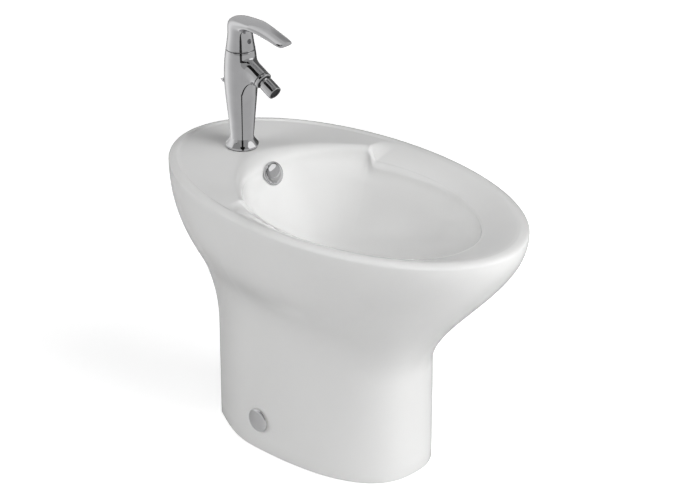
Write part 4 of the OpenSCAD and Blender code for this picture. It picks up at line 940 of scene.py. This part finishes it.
world = bpy.data.worlds.new("studioWorld")
scene.world = world
world.use_nodes = True
tree = world.node_tree
plain = tree.nodes["Background"]
plain.inputs["Color"].default_value, plain.inputs["Strength"].default_value = (1, 1, 1, 1), studio["sky"]
white = tree.nodes.new("ShaderNodeBackground")
white.inputs["Color"].default_value, white.inputs["Strength"].default_value = (1, 1, 1, 1), 1.0
choice = pathSwitch(tree, ["Is Camera Ray", "Is Glossy Ray", "Is Transmission Ray"])
last = mixedBy(tree, choice, plain.outputs[0], white.outputs[0])
tree.links.new(last, tree.nodes["World Output"].inputs["Surface"])


def cornersOf(width, height):
    return [(x * width / 2, y * height / 2, 0) for x, y in ((-1, -1), (1, -1), (1, 1), (-1, 1))]


floor = newObject("floor", cornersOf(studio["floorSize"], studio["floorSize"]), [(0, 1, 2, 3)])
floor.location.z = -0.0006
material, tree, shader, place = newMaterial("floorFinish")
shader.inputs["Base Color"].default_value = (*studio["floorColour"], 1)
shader.inputs["Roughness"].default_value = 0.9
shader.inputs["Specular IOR Level"].default_value = 0.1
lift = tree.nodes.new("ShaderNodeEmission")
lift.inputs["Color"].default_value = (1, 1, 1, 1)
nearness = tree.nodes.new("ShaderNodeTexGradient")       # far from the part the floor turns white
nearness.gradient_type = "SPHERICAL"
scaling = tree.nodes.new("ShaderNodeVectorMath")
scaling.operation = "SCALE"
scaling.inputs["Scale"].default_value = 1 / studio["floorFar"]
tree.links.new(place, scaling.inputs[0])
tree.links.new(scaling.outputs[0], nearness.inputs["Vector"])
fading = tree.nodes.new("ShaderNodeMapRange")
for key, value in zip(("From Min", "From Max", "To Min", "To Max"), (0.0, 0.7, 1.0, studio["floorLift"])):
    fading.inputs[key].default_value = value
tree.links.new(nearness.outputs["Fac"], fading.inputs["Value"])
tree.links.new(fading.outputs["Result"], lift.inputs["Strength"])
adding = tree.nodes.new("ShaderNodeAddShader")
tree.links.new(shader.outputs[0], adding.inputs[0])
tree.links.new(lift.outputs[0], adding.inputs[1])
choice = pathSwitch(tree, ["Is Camera Ray", "Is Transmission Ray"])
last = mixedBy(tree, choice, shader.outputs[0], adding.outputs[0])
tree.links.new(last, tree.nodes["Material Output"].inputs["Surface"])
floor.data.materials.append(material)

for name, (power, start, size) in studio["lamps"].items():
    lamp = bpy.data.lights.new(name + "Light", "AREA")
    lamp.energy, lamp.size = power, size
    light = bpy.data.objects.new(name + "Light", lamp)
    scene.collection.objects.link(light)
    aimed(light, start, studio["aim"])
    light.visible_glossy = False


def leftToMirrors(sheet):
    for way in ("camera", "diffuse", "transmission", "volume_scatter", "shadow"):
        setattr(sheet, "visible_" + way, False)


def shining(tree, glow, side):
    # a sheet shines on both faces, or only on its front or its back
    last = glow.outputs[0]
    if side != "both":
        choice = tree.nodes.new("ShaderNodeNewGeometry").outputs["Backfacing"]
        clear = tree.nodes.new("ShaderNodeBsdfTransparent").outputs[0]
        last = mixedBy(tree, choice, *((last, clear) if side == "front" else (clear, last)))
    tree.links.new(last, tree.nodes["Material Output"].inputs["Surface"])


# a grey tent with a dark gap where the camera stands, centred on the tap: only reflections see it
def tentPart(name, points, faces, tones, side):
    part = newObject(name, points, faces)
    part.location = (0, tapY * mm, 0)
    leftToMirrors(part)
    material, tree, shader, place = newMaterial(name + "Finish")
    turnNode = tree.nodes.new("ShaderNodeTexGradient")
    turnNode.gradient_type = "RADIAL"
    tree.links.new(place, turnNode.inputs["Vector"])
    ramp = tree.nodes.new("ShaderNodeValToRGB")
    tree.links.new(turnNode.outputs["Fac"], ramp.inputs["Fac"])
    stops = sorted(((t + tentShape["cameraTurn"]) % 1.0, v) for t, v in tones)
    ramp.color_ramp.elements.remove(ramp.color_ramp.elements[1])
    for n, (t, v) in enumerate(stops):
        stop = ramp.color_ramp.elements[0] if n == 0 else ramp.color_ramp.elements.new(t)
        stop.position, stop.color = t, (v, v, v, 1)
    glow = tree.nodes.new("ShaderNodeEmission")
    tree.links.new(ramp.outputs["Color"], glow.inputs["Color"])
    shining(tree, glow, side)
    part.data.materials.append(material)


high, low = tentShape["high"], (ps["rimHeight"] + 0.3) * mm
radius, turns = tentShape["radius"], tentShape["turns"]
circle = [(radius * math.cos(a), radius * math.sin(a)) for a in np.arange(turns) * 2 * math.pi / turns]
disc = [tuple(range(turns))]
wall = [(x, y, z) for z in (low, high) for x, y in circle]
tentPart("tentWall", wall, gridFaces(2, turns), tentShape["above"], "both")
tentPart("tentTop", [(x, y, high) for x, y in circle], disc, tentShape["ceiling"], "both")
tentPart("tentFloor", [(x, y, low) for x, y in circle], disc, tentShape["below"], "front")

# the dark gap of the tent lies just over its floor and runs up its wall
gapTurn = 2 * math.pi * (tentShape["cameraTurn"] + tentShape["gapTurn"])
gapWay = np.array([-math.cos(gapTurn), -math.sin(gapTurn), 0])
gapSide = np.array([gapWay[1], -gapWay[0], 0])
gapZ, topZ, farR = low / mm + 0.3, high / mm - 10, tentShape["gapFar"]
gapLines = [(d, w, gapZ) for d, w in tentShape["gap"]]
gapLines += [(farR, tentShape["gapTop"], topZ), (*tentShape["gapCeiling"], topZ)]
gapPoints = [(gapWay * d + gapSide * w * e + np.array([0, 0, z])) * mm for d, w, z in gapLines for e in (-1, 1)]
gapFaces = [(2 * i, 2 * i + 1, 2 * i + 3, 2 * i + 2) for i in range(len(gapLines) - 1)]
slotFirst, slotSteps = len(gapPoints), tentShape["slotSteps"]
for t in 2 * math.pi * (tentShape["cameraTurn"] + np.linspace(*tentShape["slotTurns"], slotSteps)):
    way = -np.array([math.cos(t), math.sin(t), 0])
    gapPoints += [(way * r + np.array([0, 0, z])) * mm
                  for r, z in ((farR, tentShape["slotLow"]), (farR, topZ), (tentShape["slotIn"], topZ))]
for i in range(slotFirst, slotFirst + 3 * (slotSteps - 1), 3):
    gapFaces += [(i, i + 1, i + 4, i + 3), (i + 1, i + 2, i + 5, i + 4)]
gap = newObject("tentGap", gapPoints, gapFaces)
gap.location = (0, tapY * mm, 0)
leftToMirrors(gap)
material, tree, shader, place = newMaterial("tentGapFinish")
shader.inputs["Base Color"].default_value = (0.01, 0.01, 0.01, 1)
shader.inputs["Roughness"].default_value = 1.0
gap.data.materials.append(material)

# a small card keeps the dark slot off the base of the tap, a large one lights the overflow cover
for name, (turn, away, rise, wide, tall, tone, flat) in tentShape["cards"].items():
    way = 2 * math.pi * (tentShape["cameraTurn"] + turn)
    centre = Vector((-away * math.cos(way), tapY - away * math.sin(way), ps["rimHeight"] + rise)) * mm
    card = newObject(name, cornersOf(wide * mm, tall * mm), [(0, 1, 2, 3)])
    aimed(card, centre, centre - Vector((0, 0, 1)) if flat else (0, tapY * mm, ps["rimHeight"] * mm))
    leftToMirrors(card)
    material, tree, shader, place = newMaterial(name + "Finish")
    glow = tree.nodes.new("ShaderNodeEmission")
    glow.inputs["Color"].default_value = (tone, tone, tone, 1)
    shining(tree, glow, "back")
    card.data.materials.append(material)

camera = bpy.data.cameras.new("photoCamera")
camera.lens, camera.sensor_width = cameraLens, sensorWidth
camera.clip_end = 60
cameraObject = bpy.data.objects.new("photoCamera", camera)
scene.collection.objects.link(cameraObject)
aimed(cameraObject, cameraFrom, cameraTo)
scene.camera = cameraObject
scene.view_settings.view_transform = "Standard"
print("studio ready")
